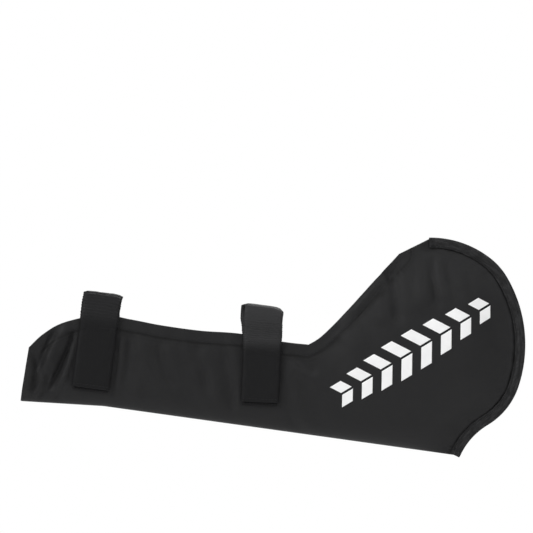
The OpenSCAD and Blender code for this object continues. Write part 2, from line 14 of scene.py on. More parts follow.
import bmesh
import bpy
import numpy as np
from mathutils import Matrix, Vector

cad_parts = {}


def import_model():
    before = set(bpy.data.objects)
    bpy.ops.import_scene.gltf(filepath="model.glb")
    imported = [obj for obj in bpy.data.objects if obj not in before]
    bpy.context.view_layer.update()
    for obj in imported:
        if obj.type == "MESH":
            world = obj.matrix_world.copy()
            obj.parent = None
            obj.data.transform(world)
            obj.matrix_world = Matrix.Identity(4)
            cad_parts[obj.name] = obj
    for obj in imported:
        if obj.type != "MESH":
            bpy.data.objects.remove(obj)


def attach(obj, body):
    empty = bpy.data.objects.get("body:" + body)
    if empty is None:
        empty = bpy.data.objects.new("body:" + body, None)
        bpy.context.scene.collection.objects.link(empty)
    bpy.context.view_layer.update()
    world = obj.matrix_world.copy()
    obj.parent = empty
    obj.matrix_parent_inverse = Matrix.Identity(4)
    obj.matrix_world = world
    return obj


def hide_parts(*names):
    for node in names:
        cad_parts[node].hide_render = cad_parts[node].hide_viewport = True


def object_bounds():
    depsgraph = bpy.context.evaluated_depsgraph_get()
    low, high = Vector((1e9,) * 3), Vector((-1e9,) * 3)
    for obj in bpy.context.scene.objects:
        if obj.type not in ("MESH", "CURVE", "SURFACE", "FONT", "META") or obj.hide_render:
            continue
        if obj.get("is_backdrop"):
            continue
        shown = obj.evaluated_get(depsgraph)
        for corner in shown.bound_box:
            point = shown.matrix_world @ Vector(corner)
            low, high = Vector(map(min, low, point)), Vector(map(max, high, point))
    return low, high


Array = np.ndarray
log = logging.getLogger("drivetrain_cover")
MM = 0.001
BODY = "root"
IMAGE_PX = 533
STITCH_PITCH = 3.4
MATH = "ShaderNodeMath"
TIMES = {"operation": "MULTIPLY"}
TIMES_PLUS = {"operation": "MULTIPLY_ADD"}
SINE = {"operation": "SINE"}
BLEND = {"data_type": "RGBA", "clamp_factor": True}
CLOTH_MAP = {"uv_map": "cloth"}


class Side(Enum):
    """Which of the two panels of the folded cloth is meant."""

    OUTER = -1
    INNER = 1


class Seed(IntEnum):
    """Start of the random draws of each uneven form."""

    OUTER_WAVES = 4
    INNER_WAVES = 40
    HEM_DENTS = 21
    HEM_FAN = 22
    RIM_FAN = 23
    STRAP_EDGE = 31
    STRAP_WAVE = 33
    ROLL = 51
    ROLL_SLOW = 52
    DITCH = 61
    DITCH_SLOW = 62
    DITCH_BREAKS = 63


class Stretch(IntEnum):
    """Stretches of a strap, from its free end over the top to the end sewn inside."""

    FREE = 0
    RISE = 1
    OUTER_BEND = 2
    INNER_BEND = 3
    FALL = 4
    SEWN = 5


def ease(t: Array) -> Array:
    """Returns the smooth step from 0 to 1 of t."""
    c = np.clip(t, 0.0, 1.0)
    return c * c * (3 - 2 * c)


def mix(a: Array, b: Array, t: Array) -> Array:
    """Returns the value between a and b at the share t."""
    return a + (b - a) * t


def unit(v: Array) -> Array:
    """Returns the vectors of v, along its last axis, at length 1."""
    return v / np.maximum(np.linalg.norm(v, axis=-1, keepdims=True), 1e-9)


def smooth_curve(points: Sequence[Sequence[float]], steps: int) -> Array:
    """Runs a Catmull-Rom curve through a few points.

    Args:
        points: the points that the curve passes.
        steps: the number of steps in each span.

    Returns:
        The points of the curve, one row each.
    """
    p = np.asarray(points, float)
    out = []
    for i in range(len(p) - 1):
        a, b, c, d = p[max(i - 1, 0)], p[i], p[i + 1], p[min(i + 2, len(p) - 1)]
        for k in range(steps):
            t = k / steps
            out.append(0.5 * (2 * b + (c - a) * t + (2 * a - 5 * b + 4 * c - d) * t * t
                              + (3 * b - a - 3 * c + d) * t ** 3))
    out.append(p[-1])
    return np.array(out)


def bell(x: Array, width: float) -> Array:
    """Returns a soft bump at x: 1 at 0, falling to nearly 0 at twice the width."""
    return np.exp(-((x / width) ** 2))


def run_along(curve: Array) -> Array:
    """Returns the distance of each point of a curve from its first point."""
    return np.concatenate([[0.0], np.cumsum(np.linalg.norm(np.diff(curve, axis=0), axis=1))])


def along(curve: Array, s: Array) -> Array:
    """Finds points at distances along a curve.

    Args:
        curve: points of the curve, one row each.
        s: distances from the first point.

    Returns:
        One point for each distance.
    """
    run = run_along(curve)
    return np.stack([np.interp(s, run, curve[:, k]) for k in range(curve.shape[1])], axis=-1)


def length_of(curve: Array) -> float:
    """Returns the length of a curve of points."""
    return float(np.linalg.norm(np.diff(curve, axis=0), axis=1).sum())


def off_edge(curve: Array) -> Array:
    """Returns the direction off the cloth at each point [x, z] of the rim."""
    way = unit(np.gradient(curve, axis=0))
    return np.stack([way[:, 1], -way[:, 0]], -1)


def curve_gap(p: Array, curve: Array) -> tuple[Array, Array, Array]:
    """Measures how far points lie from a curve.

    Args:
        p: points, one row each.
        curve: points of the curve, one row each.

    Returns:
        The distance, the share of the curve's length at the nearest place, and the side, +1 or -1.
    """
    a, d = curve[:-1], np.diff(curve, axis=0)
    seg = np.linalg.norm(d, axis=1)
    run = np.concatenate([[0.0], np.cumsum(seg)])
    rel = p[:, None, :] - a[None]
    t = np.clip((rel * d[None]).sum(-1) / np.maximum(seg ** 2, 1e-12), 0, 1)
    miss = rel - t[..., None] * d[None]
    gap = np.linalg.norm(miss, axis=-1)
    best = gap.argmin(axis=1)
    rows = np.arange(len(p))
    cross = d[best, 0] * miss[rows, best, 1] - d[best, 1] * miss[rows, best, 0]
    share = (run[best] + t[rows, best] * seg[best]) / run[-1]
    return gap[rows, best], share, np.where(cross >= 0, 1.0, -1.0)


def lattice_noise(u: Array, v: Array, seed: int) -> Array:
    """Returns smooth noise of -1 to 1 at u and v, with one random value at each whole pair.

    Args:
        u: first coordinate of each point.
        v: second coordinate of each point.
        seed: start of the random draws.
    """
    table = np.random.default_rng(seed).uniform(-1, 1, (64, 64))
    i, k = np.floor(u).astype(int), np.floor(v).astype(int)
    fu, fv = ease(u - i), ease(v - k)
    low = mix(table[i % 64, k % 64], table[(i + 1) % 64, k % 64], fu)
    high = mix(table[i % 64, (k + 1) % 64], table[(i + 1) % 64, (k + 1) % 64], fu)
    return mix(low, high, fv)


@dataclass(frozen=True)
class Crease:
    """One soft fold of the cloth: a path in the panel's plane, a half width and a height.

    A positive height stands out from the cover. Lean makes one flank of it steeper than the other.
    """

    path: tuple[tuple[float, float], ...]
    width: float
    height: float
    lean: float = 0.0

    def lift(self, p: Array) -> Array:
        """Returns the fold's height over the points p."""
        gap, share, side = curve_gap(p, smooth_curve(self.path, 6))
        ends = ease(share / 0.22) * ease((1 - share) / 0.22)
        beyond = (share <= 0) | (share >= 1)
        shape = bell(gap, self.width * (1 + self.lean * side))
        return np.where(beyond, 0.0, self.height * shape * ends)


@dataclass(frozen=True)
class StrapForm:
    """Place of one strap, with the same values as the model's source.

    The loop's depths are measured from the chain line, outside and inside. Ribs holds the heights at which
    the cross ribs start and end. The value after the ribs is how strongly a painted highlight shows on the
    bend, where the top faces the light. Inner shift moves the leg behind along X, and droop is how far the
    front corner of the top hangs down.
    """

    name: str
    end: tuple[float, float]
    top: float
    lean: float
    loop_out: float
    loop_in: float
    top_lean: float
    ribs: tuple[float, float]
    # strength of the painted highlight on the bend
    wear_and_bend_highlight: float
    rib_pitch: float
    inner_shift: float
    droop: float

    def x_at(self, z: Array) -> Array:
        """Returns the x of the strap's middle at the height z."""
        return self.end[0] + (z - self.end[1]) * math.tan(math.radians(self.lean))


TAIL_FOLDS = (
    Crease(((-330, 30), (-339, 10), (-349, -12), (-360, -34), (-368, -46)), 3.4, -5.0, 0.3),
    Crease(((-333, 18), (-339, -6), (-346, -26), (-354, -44)), 3.2, 3.4, -0.2),
    Crease(((-338, 32), (-352, 12), (-362, -8), (-368, -26)), 5.4, 3.8, 0.3),
    Crease(((-352, 26), (-362, 10), (-368, -6), (-371, -20)), 3.2, -2.8, 0.2),
    Crease(((-376, 2), (-373, -10), (-374, -24), (-379, -42)), 2.8, -2.4),
    Crease(((-382, -2), (-379, -14), (-380, -28), (-385, -42)), 3.0, 1.8),
    Crease(((-365, -20), (-369, -32), (-375, -46)), 2.2, 2.4),
    Crease(((-360, -18), (-365, -32), (-371, -47)), 2.0, -2.4),
    Crease(((-344, -24), (-349, -36), (-357, -49)), 2.4, -2.0),
    Crease(((-296, 18), (-295, -6), (-298, -30), (-302, -50)), 5.2, -3.2, -0.3),
    Crease(((-288, 26), (-288, 2), (-292, -26), (-297, -50)), 4.2, 1.8),
    Crease(((-279, 24), (-280, 4), (-283, -20), (-286, -36)), 3.6, -1.4, -0.2),
    Crease(((-268, 22), (-266, -8), (-272, -34), (-281, -54)), 6.5, 1.7),
    Crease(((-252, 18), (-250, -4), (-244, -22), (-232, -40)), 5.0, -2.3, 0.3),
    Crease(((-240, 16), (-236, -6), (-226, -24), (-214, -38)), 6.5, 1.7),
    Crease(((-218, 14), (-214, -4), (-206, -24), (-204, -46)), 5.2, -1.8),
    Crease(((-204, 12), (-201, -12), (-194, -36), (-192, -58)), 6.5, 1.8),
    Crease(((-186, 12), (-184, -14), (-179, -40), (-175, -62)), 4.6, -2.6, -0.3),
    Crease(((-126, 2), (-116, -6), (-104, -16), (-92, -20)), 5.5, -2.4, 0.2),
    Crease(((-126, -14), (-112, -18), (-98, -30), (-90, -46)), 6.5, 1.5),
)
LOBE_FOLDS = (
    Crease(((-30, 88), (-22, 74), (-18, 58), (-17, 40), (-14, 24)), 6.0, -5.0, 0.3),
    Crease(((-44, 74), (-36, 58), (-31, 42), (-30, 24)), 7.5, 2.2),
    Crease(((8, 102), (9, 80), (9, 58), (8, 36)), 7.0, 3.0),
    Crease(((20, 104), (20, 84), (23, 62), (28, 40)), 3.6, -4.0, -0.25),
    Crease(((27, 100), (28, 82), (32, 62), (36, 46)), 4.0, 2.0),
    Crease(((34, 100), (35, 84), (39, 66)), 3.0, -1.8),
    Crease(((44, 92), (47, 76), (51, 60)), 6.0, 1.2),
    Crease(((52, 84), (56, 68), (60, 54)), 4.5, -0.9),
    Crease(((-78, 26), (-64, 46), (-48, 64), (-34, 80)), 4.2, -2.8, 0.25),
    Crease(((-62, 36), (-50, 52), (-38, 66), (-29, 76)), 3.2, 2.4, -0.2),
    Crease(((-58, 44), (-48, 28), (-42, 10), (-44, -8)), 8.0, -1.8),
    Crease(((-70, 26), (-62, 8), (-60, -12), (-66, -32)), 9.0, 1.5),
    Crease(((64, 56), (74, 40), (80, 22), (82, 4)), 6.5, -1.2),
    Crease(((18, -62), (36, -58), (52, -50), (66, -40)), 6.5, 1.2),
    Crease(((30, -76), (44, -68), (58, -58), (70, -50)), 4.5, -1.0),
    Crease(((-30, -60), (-10, -58), (12, -62)), 9.0, -0.8),
)
REAR = StrapForm("rear", (-319.3, -34.7), 58.6, 7.5, 15, 15, 0, (31, 70), 0.45, 3.1, -1.0, 1.2)
FRONT = StrapForm("front", (-151.8, -48.5), 46.5, 2.6, 25, 21, 5, (6, 31), 1.3, 2.4, -4.0, 3.4)
STRAPS = (REAR, FRONT)


@dataclass(frozen=True)
class CoverForm:
    """Outline and depth of the folded cloth, with the values of the model's source.

    The values from press_margin on are the scene's own: how far the straps press the cloth flat, the
    distance between the hem's two dents, how far the cloth puffs beside the binding, the share of the folds
    that reaches the seam, and the lengths of the cloth laid out flat.
    """

    fold_drop: float = 95.25
    fold_slope: float = 7.93
    tip_slope: float = 3.48
    kink_back: float = 306.9
    mouth_back: float = 389.1
    corner_front: float = 46.0
    corner_heading: float = 65.5
    rim_arcs: tuple[tuple[float, float], ...] = (
        (70, -34.7), (68.5, 40.7), (131, 48.8), (65, 21), (94.6, 39.7))
    mouth_top: float = 5.5
    mouth_lean: float = 8.6
    rear_rise: float = 37.5
    waist_rise: float = 23.0
    throat: tuple[float, float] = (-104.0, 8.0)
    free_edge: float = 33.6
    free_heading: float = 206.5
    notch_r: float = 34.0
    hem_w: float = 12.0
    tail_front: float = 12.0
    tail_back: float = 9.0
    mouth_keep: float = 0.8
    hub_front: float = 24.0
    hub_back: float = 13.0
    hub_reach: float = 140.0
    fold_round: float = 22.0
    rim_round: float = 50.0
    flat_past: float = 4.5
    opening_dip: float = 0.42
    cloth_t: float = 1.0
    layer_gap: float = 0.3
    bind_w: float = 8.6
    strap_w: float = 38.0
    crease_soft: float = 0.8
    hub_x: float = -10.0
    mouth_reach: float = 90.0
    dip_width: float = 24.0
    press_margin: float = 2.0
    press_fade: float = 5.0
    hem_rows: float = 3.2
    rim_puff: float = 1.35
    seam_folds: float = 0.6
    front: float = 112.0
    flat_height: float = 430.0

    @property
    def pinch(self) -> float:
        """Depth of a panel's middle where the two panels lie on each other."""
        return (self.cloth_t + self.layer_gap) / 2

    def fold_z(self, x: Array) -> Array:
        """Returns the height of the fold line at x."""
        main = -self.fold_drop - x * math.tan(math.radians(self.fold_slope))
        kink = -self.fold_drop + self.kink_back * math.tan(math.radians(self.fold_slope))
        tip = kink - (x + self.kink_back) * math.tan(math.radians(self.tip_slope))
        return np.where(x < -self.kink_back, tip, main)

    def rim(self) -> Array:
        """Returns the rim of the lobe, from the corner at the fold to the end of the binding."""
        p = np.array([self.corner_front, float(self.fold_z(np.array(self.corner_front)))])
        heading = math.radians(self.corner_heading)
        out = [p]
        for radius, degrees in self.rim_arcs:
            side, turn = math.copysign(1, degrees), math.radians(degrees)
            centre = p + side * radius * np.array([-math.sin(heading), math.cos(heading)])
            for k in range(1, 19):
                a = heading + turn * k / 18
                out.append(centre + side * radius * np.array([math.sin(a), -math.cos(a)]))
            p, heading = out[-1], heading + turn
        return np.array(out)

    def opening_top(self) -> Array:
        """Returns the top of the opening, where the unbound edge starts."""
        a = math.radians(self.free_heading)
        return self.rim()[-1] + self.free_edge * np.array([math.cos(a), math.sin(a)])

    def mouth_head(self) -> tuple[float, float]:
        """Returns the top corner of the rear mouth."""
        return (-self.mouth_back + self.mouth_lean, self.mouth_top)

    def tail_edge(self) -> Array:
        """Returns the top edge of the tail, from the rear mouth to the throat behind the lobe."""
        low, high, waist = self.mouth_top, self.rear_rise, self.waist_rise
        return smooth_curve([self.mouth_head(), (-366, mix(low, high, 0.42)), (-345, mix(low, high, 0.78)),
                             (-309, high), (-280, high - 4.5), (-250, waist + 4.2), (-211, waist - 1.2),
                             (-171, waist - 4.2), (-130, self.throat[1] + 3), self.throat], 12)

    def lobe_edge(self, side: Side) -> Array:
        """Returns the open edge of a panel in the lobe: the opening, or the notch round the axle."""
        t, top = np.array(self.throat), self.opening_top()
        if side is Side.OUTER:
            middle = [t + (14, 9), mix(t, top, 0.4) + (2, -3), mix(t, top, 0.72) + (2, 0)]
            return smooth_curve([t, *middle, top], 12)
        turns = np.radians([*range(228, 397, 28), 40])
        *arc, bend = self.notch_r * np.stack([np.cos(turns), np.sin(turns)], -1)
        return smooth_curve([t, t + (40, -16), *arc, mix(bend, top, 0.55) + (4, 2), top], 8)

    def hem_place(self, p: Array, side: Side) -> tuple[Array, Array]:
        """Returns how far past the hem p lies, and its distance along the open edge from the mouth."""
        edge = np.concatenate([self.tail_edge()[:-1], self.lobe_edge(side)])
        gap, share, _ = curve_gap(p, edge)
        return gap - self.hem_w, share * length_of(edge)

    def rim_place(self, p: Array) -> tuple[Array, Array, Array]:
        """Returns how far past the binding p lies, and its distance and share along the rim."""
        rim = self.rim()
        gap, share, _ = curve_gap(p, rim)
        return gap - self.bind_w, share * length_of(rim), share

    def swell(self, p: Array, tail: float, hub: float) -> Array:
        """Returns how deep a panel would be at p without its closed edges."""
        keep = mix(self.mouth_keep, 1.0, ease((p[:, 0] + self.mouth_back) / self.mouth_reach))
        bulge = ease(1 - np.hypot(p[:, 0] - self.hub_x, p[:, 1]) / self.hub_reach)
        return mix(tail * keep, hub, bulge)

    def fold_gap(self, p: Array) -> Array:
        """Returns the distance of p from the fold line."""
        return (p[:, 1] - self.fold_z(p[:, 0])) * math.cos(math.radians(self.fold_slope))

    def closed(self, p: Array) -> Array:
        """Returns the share of the full depth that the fold and the rim leave at p."""
        f = np.clip(self.fold_gap(p) / self.fold_round, 0, 1)
        r = np.clip((self.rim_place(p)[0] - self.flat_past) / self.rim_round, 0, 1)
        return np.sqrt(np.maximum(0, 1 - (1 - f) ** 2)) * np.sin(r * math.pi / 2)

    def strap_mask(self, p: Array) -> Array:
        """Returns 0 under the straps, where the cloth is pressed flat, and 1 away from them."""
        mask = np.ones(len(p))
        for strap in STRAPS:
            beside = np.abs(p[:, 0] - strap.x_at(p[:, 1])) - self.strap_w / 2
            mask *= ease((beside - self.press_margin) / self.press_fade)
        return mask

    def wrinkles(self, p: Array, seed: int) -> Array:
        """Returns the cloth's small uneven waves at p: upright in the tail, and slight in the lobe.

        Args:
            p: points in the panel's plane.
            seed: start of the random draws.

        Returns:
            A height in millimetres at each point.
        """
        x, z = p[:, 0], p[:, 1]
        tail = (1 - ease((x + 118) / 60)) * (1 - 0.3 * ease((x + 335) / 40))
        hung = ease((z - 5) / 60) * (1 - tail)
        across = x + 0.25 * z + 7 * lattice_noise(x / 38, z / 30, seed)
        wide = lattice_noise(across / 12, z / 46, seed + 1)
        narrow = lattice_noise((across + 4 * wide) / 5.5, z / 19, seed + 2)
        crumple = lattice_noise((x + 3 * narrow) / 8.5, (z - 2 * wide) / 9, seed + 3)
        return ((1.25 * tail + 0.55 * hung + 0.25) * wide + (0.42 * tail + 0.2 * hung + 0.06) * narrow
                + (0.22 * tail + 0.14) * crumple)

    def puckers(self, p: Array, side: Side) -> Array:
        """Returns the small dents that the seams pull into the cloth beside hems and binding."""
        hem, run = self.hem_place(p, side)
        inwards = hem + self.hem_w
        dents = bell(hem, 1.0) + 0.5 * bell(hem - self.hem_rows, 1.0)
        beat = 0.55 + 0.3 * lattice_noise(run / 4.6, inwards / 30, Seed.HEM_DENTS)
        fan = bell(hem - 5, 5.5) * 0.5 * lattice_noise(run / 6.5, inwards / 18, Seed.HEM_FAN)
        past, rim_run, _ = self.rim_place(p)
        fan = fan + bell(past - 4.5, 4.5) * 0.5 * lattice_noise(rim_run / 6.0, past / 16, Seed.RIM_FAN)
        return fan - dents * beat * ease(run / 14)

    def painted_seam_shade(self, p: Array, side: Side) -> Array:
        """Returns painted shade: 1 in the ditch beside the binding and in the hem's thread groove, 0 away."""
        past, run, _ = self.rim_place(p)
        beat = 0.5 + 0.5 * np.sin(run * 2 * math.pi / STITCH_PITCH)
        jagged = (0.9 * lattice_noise(run / 3.1, past / 4, Seed.DITCH)
                  + 0.5 * lattice_noise(run / 9, past / 9, Seed.DITCH_SLOW))
        broken = np.clip(0.7 + 0.6 * lattice_noise(run / 4.0, past / 6, Seed.DITCH_BREAKS), 0.25, 1)
        # painted shade in the ditch beside the binding, broken and jagged with the stitches
        ditch = broken * (1 - ease((past - 1.0 - 0.9 * beat - jagged) / 0.9))
        gap, start = self.hem_place(p, side)
        # painted shade in the groove along the hem's thread rows
        hem = bell(gap - 0.2, 0.85) + 0.45 * bell(gap - self.hem_rows, 0.8)
        return np.clip(ditch + 0.85 * hem * ease(start / 12), 0, 1)

    def rim_roll(self, p: Array) -> Array:
        """Returns how far the cloth puffs up beside the binding, which holds it down."""
        past, run, share = self.rim_place(p)
        uneven = (1 + 0.35 * lattice_noise(run / 5.5, past / 20, Seed.ROLL)
                  + 0.25 * lattice_noise(run / 17, past / 30, Seed.ROLL_SLOW))
        ends = ease(share / 0.05) * ease((1 - share) / 0.05)
        return self.rim_puff * ends * uneven * ease((past - 0.2) / 2.8) * (1 - ease((past - 3.0) / 14))

    def folds(self, p: Array, side: Side) -> Array:
        """Returns the height of all folds of a panel at p."""
        if side is Side.INNER:
            waves = self.wrinkles(p, Seed.INNER_WAVES)
        else:
            waves = sum(f.lift(p) for f in TAIL_FOLDS + LOBE_FOLDS) + self.wrinkles(p, Seed.OUTER_WAVES)
        return self.strap_mask(p) * waves + self.puckers(p, side)

    def depth(self, p: Array, side: Side) -> Array:
        """Returns the depth of a panel's middle at points [x, z]."""
        pinched = self.pinch * ease(self.fold_gap(p) / self.crease_soft)
        if side is Side.OUTER:
            start = np.array(self.throat) + (14, 9)
            gap = curve_gap(p, np.array([start, self.opening_top()]))[0]
            dip = self.opening_dip * bell(gap, self.dip_width)
            swell = self.swell(p, self.tail_front, self.hub_front) * (1 - dip)
        else:
            swell = self.swell(p, self.tail_back, self.hub_back)
        closed = self.closed(p)
        seam = self.seam_folds * ease((self.rim_place(p)[0] - 3) / 14)
        free = seam * np.sqrt(np.clip(self.fold_gap(p) / self.fold_round, 0, 1))
        folds = np.maximum(closed, free) * self.folds(p, side)
        return np.maximum(pinched + closed * swell + folds + self.rim_roll(p), pinched)


def linear(hex_colour: str) -> tuple[float, float, float, float]:
    """Turns an sRGB hex colour into the linear values that shaders take."""
    parts = [int(hex_colour[k:k + 2], 16) / 255 for k in (1, 3, 5)]
    r, g, b = (c / 12.92 if c <= 0.04045 else ((c + 0.055) / 1.055) ** 2.4 for c in parts)
    return (r, g, b, 1.0)


def plug(tree: bpy.types.NodeTree, node: bpy.types.Node, *values: object, **links: object) -> None:
    """Sets or links the inputs of a node.

    Args:
        tree: the node's tree.
        node: the node.
        *values: what goes into the first inputs, in order.
        **links: what goes into each other input, by its name with _ for a space, or i and its number. It
            is a value, a socket, or a node whose first output is meant.
    """
    for key, value in ({f"i{k}": v for k, v in enumerate(values)} | links).items():
        number = key[1:] if key[0] == "i" and key[1:].isdigit() else None
        socket = node.inputs[int(number)] if number else node.inputs[key.replace("_", " ")]
        source = value.outputs[0] if isinstance(value, bpy.types.Node) else value
        if isinstance(source, bpy.types.NodeSocket):
            tree.links.new(source, socket)
        else:
            socket.default_value = source


def add_node(tree: bpy.types.NodeTree, kind: str, settings: Optional[dict] = None, *values: object,
             **links: object) -> bpy.types.Node:
    """Adds one node with its settings, values and links.

    Args:
        tree: the node tree to add to.
        kind: the node's type name.
        settings: properties to set on the node.
        *values: what goes into the first inputs, as plug takes it.
        **links: what goes into each other input, as plug takes it.

    Returns:
        The new node.
    """
    node = tree.nodes.new(kind)
    for key, value in (settings or {}).items():
        setattr(node, key, value)
    plug(tree, node, *values, **links)
    return node


def empty_tree(owner: bpy.types.ID) -> bpy.types.NodeTree:
    """Returns the node tree of a material or world, with nothing in it."""
    owner.use_nodes = True
    owner.node_tree.nodes.clear()
    return owner.node_tree


@dataclass(frozen=True)
class Finish:
    """What every finish of this object shares: a principled shader with its colour and gloss."""

    name: str
    colour: str
    roughness: float
    specular: float = 0.4

    def make(self) -> bpy.types.Material:
        """Returns the finished material."""
        material = bpy.data.materials.new(self.name)
        material.diffuse_color = linear(self.colour)
        tree = empty_tree(material)
        shader = add_node(tree, "ShaderNodeBsdfPrincipled", Base_Color=linear(self.colour),
                          Roughness=self.roughness, Specular_IOR_Level=self.specular)
        add_node(tree, "ShaderNodeOutputMaterial", Surface=shader)
        self.dress(tree, shader)
        return material

    def dress(self, tree: bpy.types.NodeTree, shader: bpy.types.Node) -> None:
        """Adds the patterns of this finish.

        Args:
            tree: the material's tree.
            shader: its principled shader.
        """
        raise NotImplementedError


def woven_height(tree: bpy.types.NodeTree, uv: bpy.types.Node, pitch: float) -> bpy.types.Node:
    """Builds the height of a plain weave, in which each thread passes over and under the next.

    Args:
        tree: the material's tree.
        uv: node with coordinates in metres along the cloth.
        pitch: distance between threads in metres.

    Returns:
        A node with the height, from 0 to 1.
    """
    parts = add_node(tree, "ShaderNodeSeparateXYZ", Vector=uv)
    waves, heights = [], []
    for place in parts.outputs[:2]:
        turns = add_node(tree, MATH, TIMES, place, math.pi / pitch)
        wave = add_node(tree, MATH, SINE, turns)
        size = add_node(tree, MATH, {"operation": "ABSOLUTE"}, wave)
        waves.append(wave)
        heights.append(add_node(tree, MATH, {"operation": "POWER"}, size, 0.6))
    both = add_node(tree, MATH, TIMES, *waves)
    over = add_node(tree, MATH, {"operation": "GREATER_THAN"}, both, 0.0)
    return add_node(tree, "ShaderNodeMix", {"data_type": "FLOAT"}, i0=over, i2=heights[0], i3=heights[1])


@dataclass(frozen=True)
class CoatedCloth(Finish):
    """Polyester plain weave with a coating: matt, near black, with a faint grain of threads.

    Real threads lie about 0.5 mm apart, too fine to show, so they are drawn at 1.1 mm.
    """

    thread_mm: float = 1.1
    thread_height_mm: float = 0.16
    patch_mm: float = 70.0
    speck_mm: float = 1.1111
    wear_and_bend_highlight: str = "#272728"
    # near black painted shade for the ditch beside the binding and the hem's thread groove
    seam: str = "#030303"

    def dress(self, tree: bpy.types.NodeTree, shader: bpy.types.Node) -> None:
        """Adds slow tone changes, a grain of threads, painted seam shade and slight gloss changes."""
        uv = add_node(tree, "ShaderNodeUVMap", CLOTH_MAP)
        place = add_node(tree, "ShaderNodeTexCoord").outputs["Object"]
        slow = add_node(tree, "ShaderNodeTexNoise", Vector=place, Scale=1 / (self.patch_mm * MM),
                        Detail=4.0, Roughness=0.55)
        fine = add_node(tree, "ShaderNodeTexNoise", Vector=uv, Scale=1 / (self.speck_mm * MM), Detail=2.0)
        weave = woven_height(tree, uv, self.thread_mm * MM)
        tone = add_node(tree, MATH, TIMES_PLUS, weave, 0.16, -0.24)
        tone = add_node(tree, MATH, TIMES_PLUS, slow, 0.5, tone)
        tone = add_node(tree, MATH, TIMES_PLUS, fine, 0.16, tone)
        plain = add_node(tree, "ShaderNodeMix", BLEND, i0=tone, i6=linear(self.colour),
                         i7=linear(self.wear_and_bend_highlight)).outputs[2]
        # painted shade: the share of near black in the seam ditches
        line = add_node(tree, "ShaderNodeAttribute", {"attribute_name": "painted_shade"}).outputs["Fac"]
        colour = add_node(tree, "ShaderNodeMix", BLEND, i0=line, i6=plain, i7=linear(self.seam)).outputs[2]
        rough = add_node(tree, MATH, TIMES_PLUS, slow, 0.16, self.roughness - 0.08)
        height = add_node(tree, MATH, TIMES_PLUS, fine, 0.3, weave)
        bump = add_node(tree, "ShaderNodeBump", Strength=0.55, Distance=self.thread_height_mm * MM,
                        Height=height)
        plug(tree, shader, Base_Color=colour, Roughness=rough, Normal=bump)


@dataclass(frozen=True)
class RibbedTape(Finish):
    """Grosgrain tape: fine ribs across its width, from a thick weft, at their real distance.

    Bent is the colour of a painted highlight where the tape bends over the top and faces the light. Streaks
    is the strength of the tone changes that run along the tape.
    """

    rib_mm: float = 1.4
    rib_height_mm: float = 0.25
    streak_mm: tuple[float, float] = (11.111, 2.381)
    speck_mm: float = 0.6667
    bright: str = "#343435"
    # lighter colour of the painted highlight on the bend
    bent: str = "#2b2b2d"
    streaks: float = 2.8

    def dress(self, tree: bpy.types.NodeTree, shader: bpy.types.Node) -> None:
        """Adds ribs in bump and tone, streaks along the tape and a painted highlight on its bends."""
        uv = add_node(tree, "ShaderNodeUVMap", CLOTH_MAP)
        run = add_node(tree, "ShaderNodeSeparateXYZ", Vector=uv)
        turns = add_node(tree, MATH, TIMES, run, 2 * math.pi / (self.rib_mm * MM))
        wave = add_node(tree, MATH, SINE, turns)
        rib = add_node(tree, MATH, TIMES_PLUS, wave, 0.5, 0.5)
        long, wide = (1 / (size * MM) for size in self.streak_mm)
        drawn = add_node(tree, "ShaderNodeMapping", Vector=uv, Scale=(long, wide, 1.0))
        slow = add_node(tree, "ShaderNodeTexNoise", Vector=drawn, Scale=1.0, Detail=6.0, Roughness=0.68)
        fine = add_node(tree, "ShaderNodeTexNoise", Vector=uv, Scale=1 / (self.speck_mm * MM), Detail=1.0)
        tone = add_node(tree, MATH, TIMES_PLUS, rib, 0.25, -0.5 * self.streaks)
        tone = add_node(tree, MATH, TIMES_PLUS, slow, self.streaks, tone)
        tone = add_node(tree, MATH, TIMES_PLUS, fine, 0.2, tone)
        plain = add_node(tree, "ShaderNodeMix", BLEND, i0=tone, i6=linear(self.colour),
                         i7=linear(self.bright)).outputs[2]
        # painted highlight: lighter colour where the strap bends over the top, scaled by its strength
        bend = add_node(tree, "ShaderNodeAttribute", {"attribute_name": "bent"}).outputs["Fac"]
        uneven = add_node(tree, MATH, TIMES_PLUS, fine, 0.8, 0.3)
        share = add_node(tree, MATH, TIMES, bend, uneven)
        colour = add_node(tree, "ShaderNodeMix", BLEND, i0=share, i6=plain, i7=linear(self.bent)).outputs[2]
        bump = add_node(tree, "ShaderNodeBump", Strength=0.6, Distance=self.rib_height_mm * MM, Height=rib)
        plug(tree, shader, Base_Color=colour, Normal=bump)


@dataclass(frozen=True)
class FuzzyPile(Finish):
    """Hook or loop pile of nylon: a dull, uneven nap that takes no highlight."""

    nap_mm: float = 0.8
    nap_height_mm: float = 0.4
    tips: str = "#1f1f20"

    def dress(self, tree: bpy.types.NodeTree, shader: bpy.types.Node) -> None:
        """Adds a rough nap in bump and tone."""
        place = add_node(tree, "ShaderNodeTexCoord").outputs["Object"]
        nap = add_node(tree, "ShaderNodeTexVoronoi", Vector=place, Scale=1 / (self.nap_mm * MM))
        tone = add_node(tree, MATH, TIMES, nap, 0.8)
        colour = add_node(tree, "ShaderNodeMix", BLEND, i0=tone, i6=linear(self.tips),
                          i7=linear(self.colour)).outputs[2]
        bump = add_node(tree, "ShaderNodeBump", {"invert": True}, Strength=0.8,
                        Distance=self.nap_height_mm * MM, Height=nap)
        plug(tree, shader, Base_Color=colour, Normal=bump)


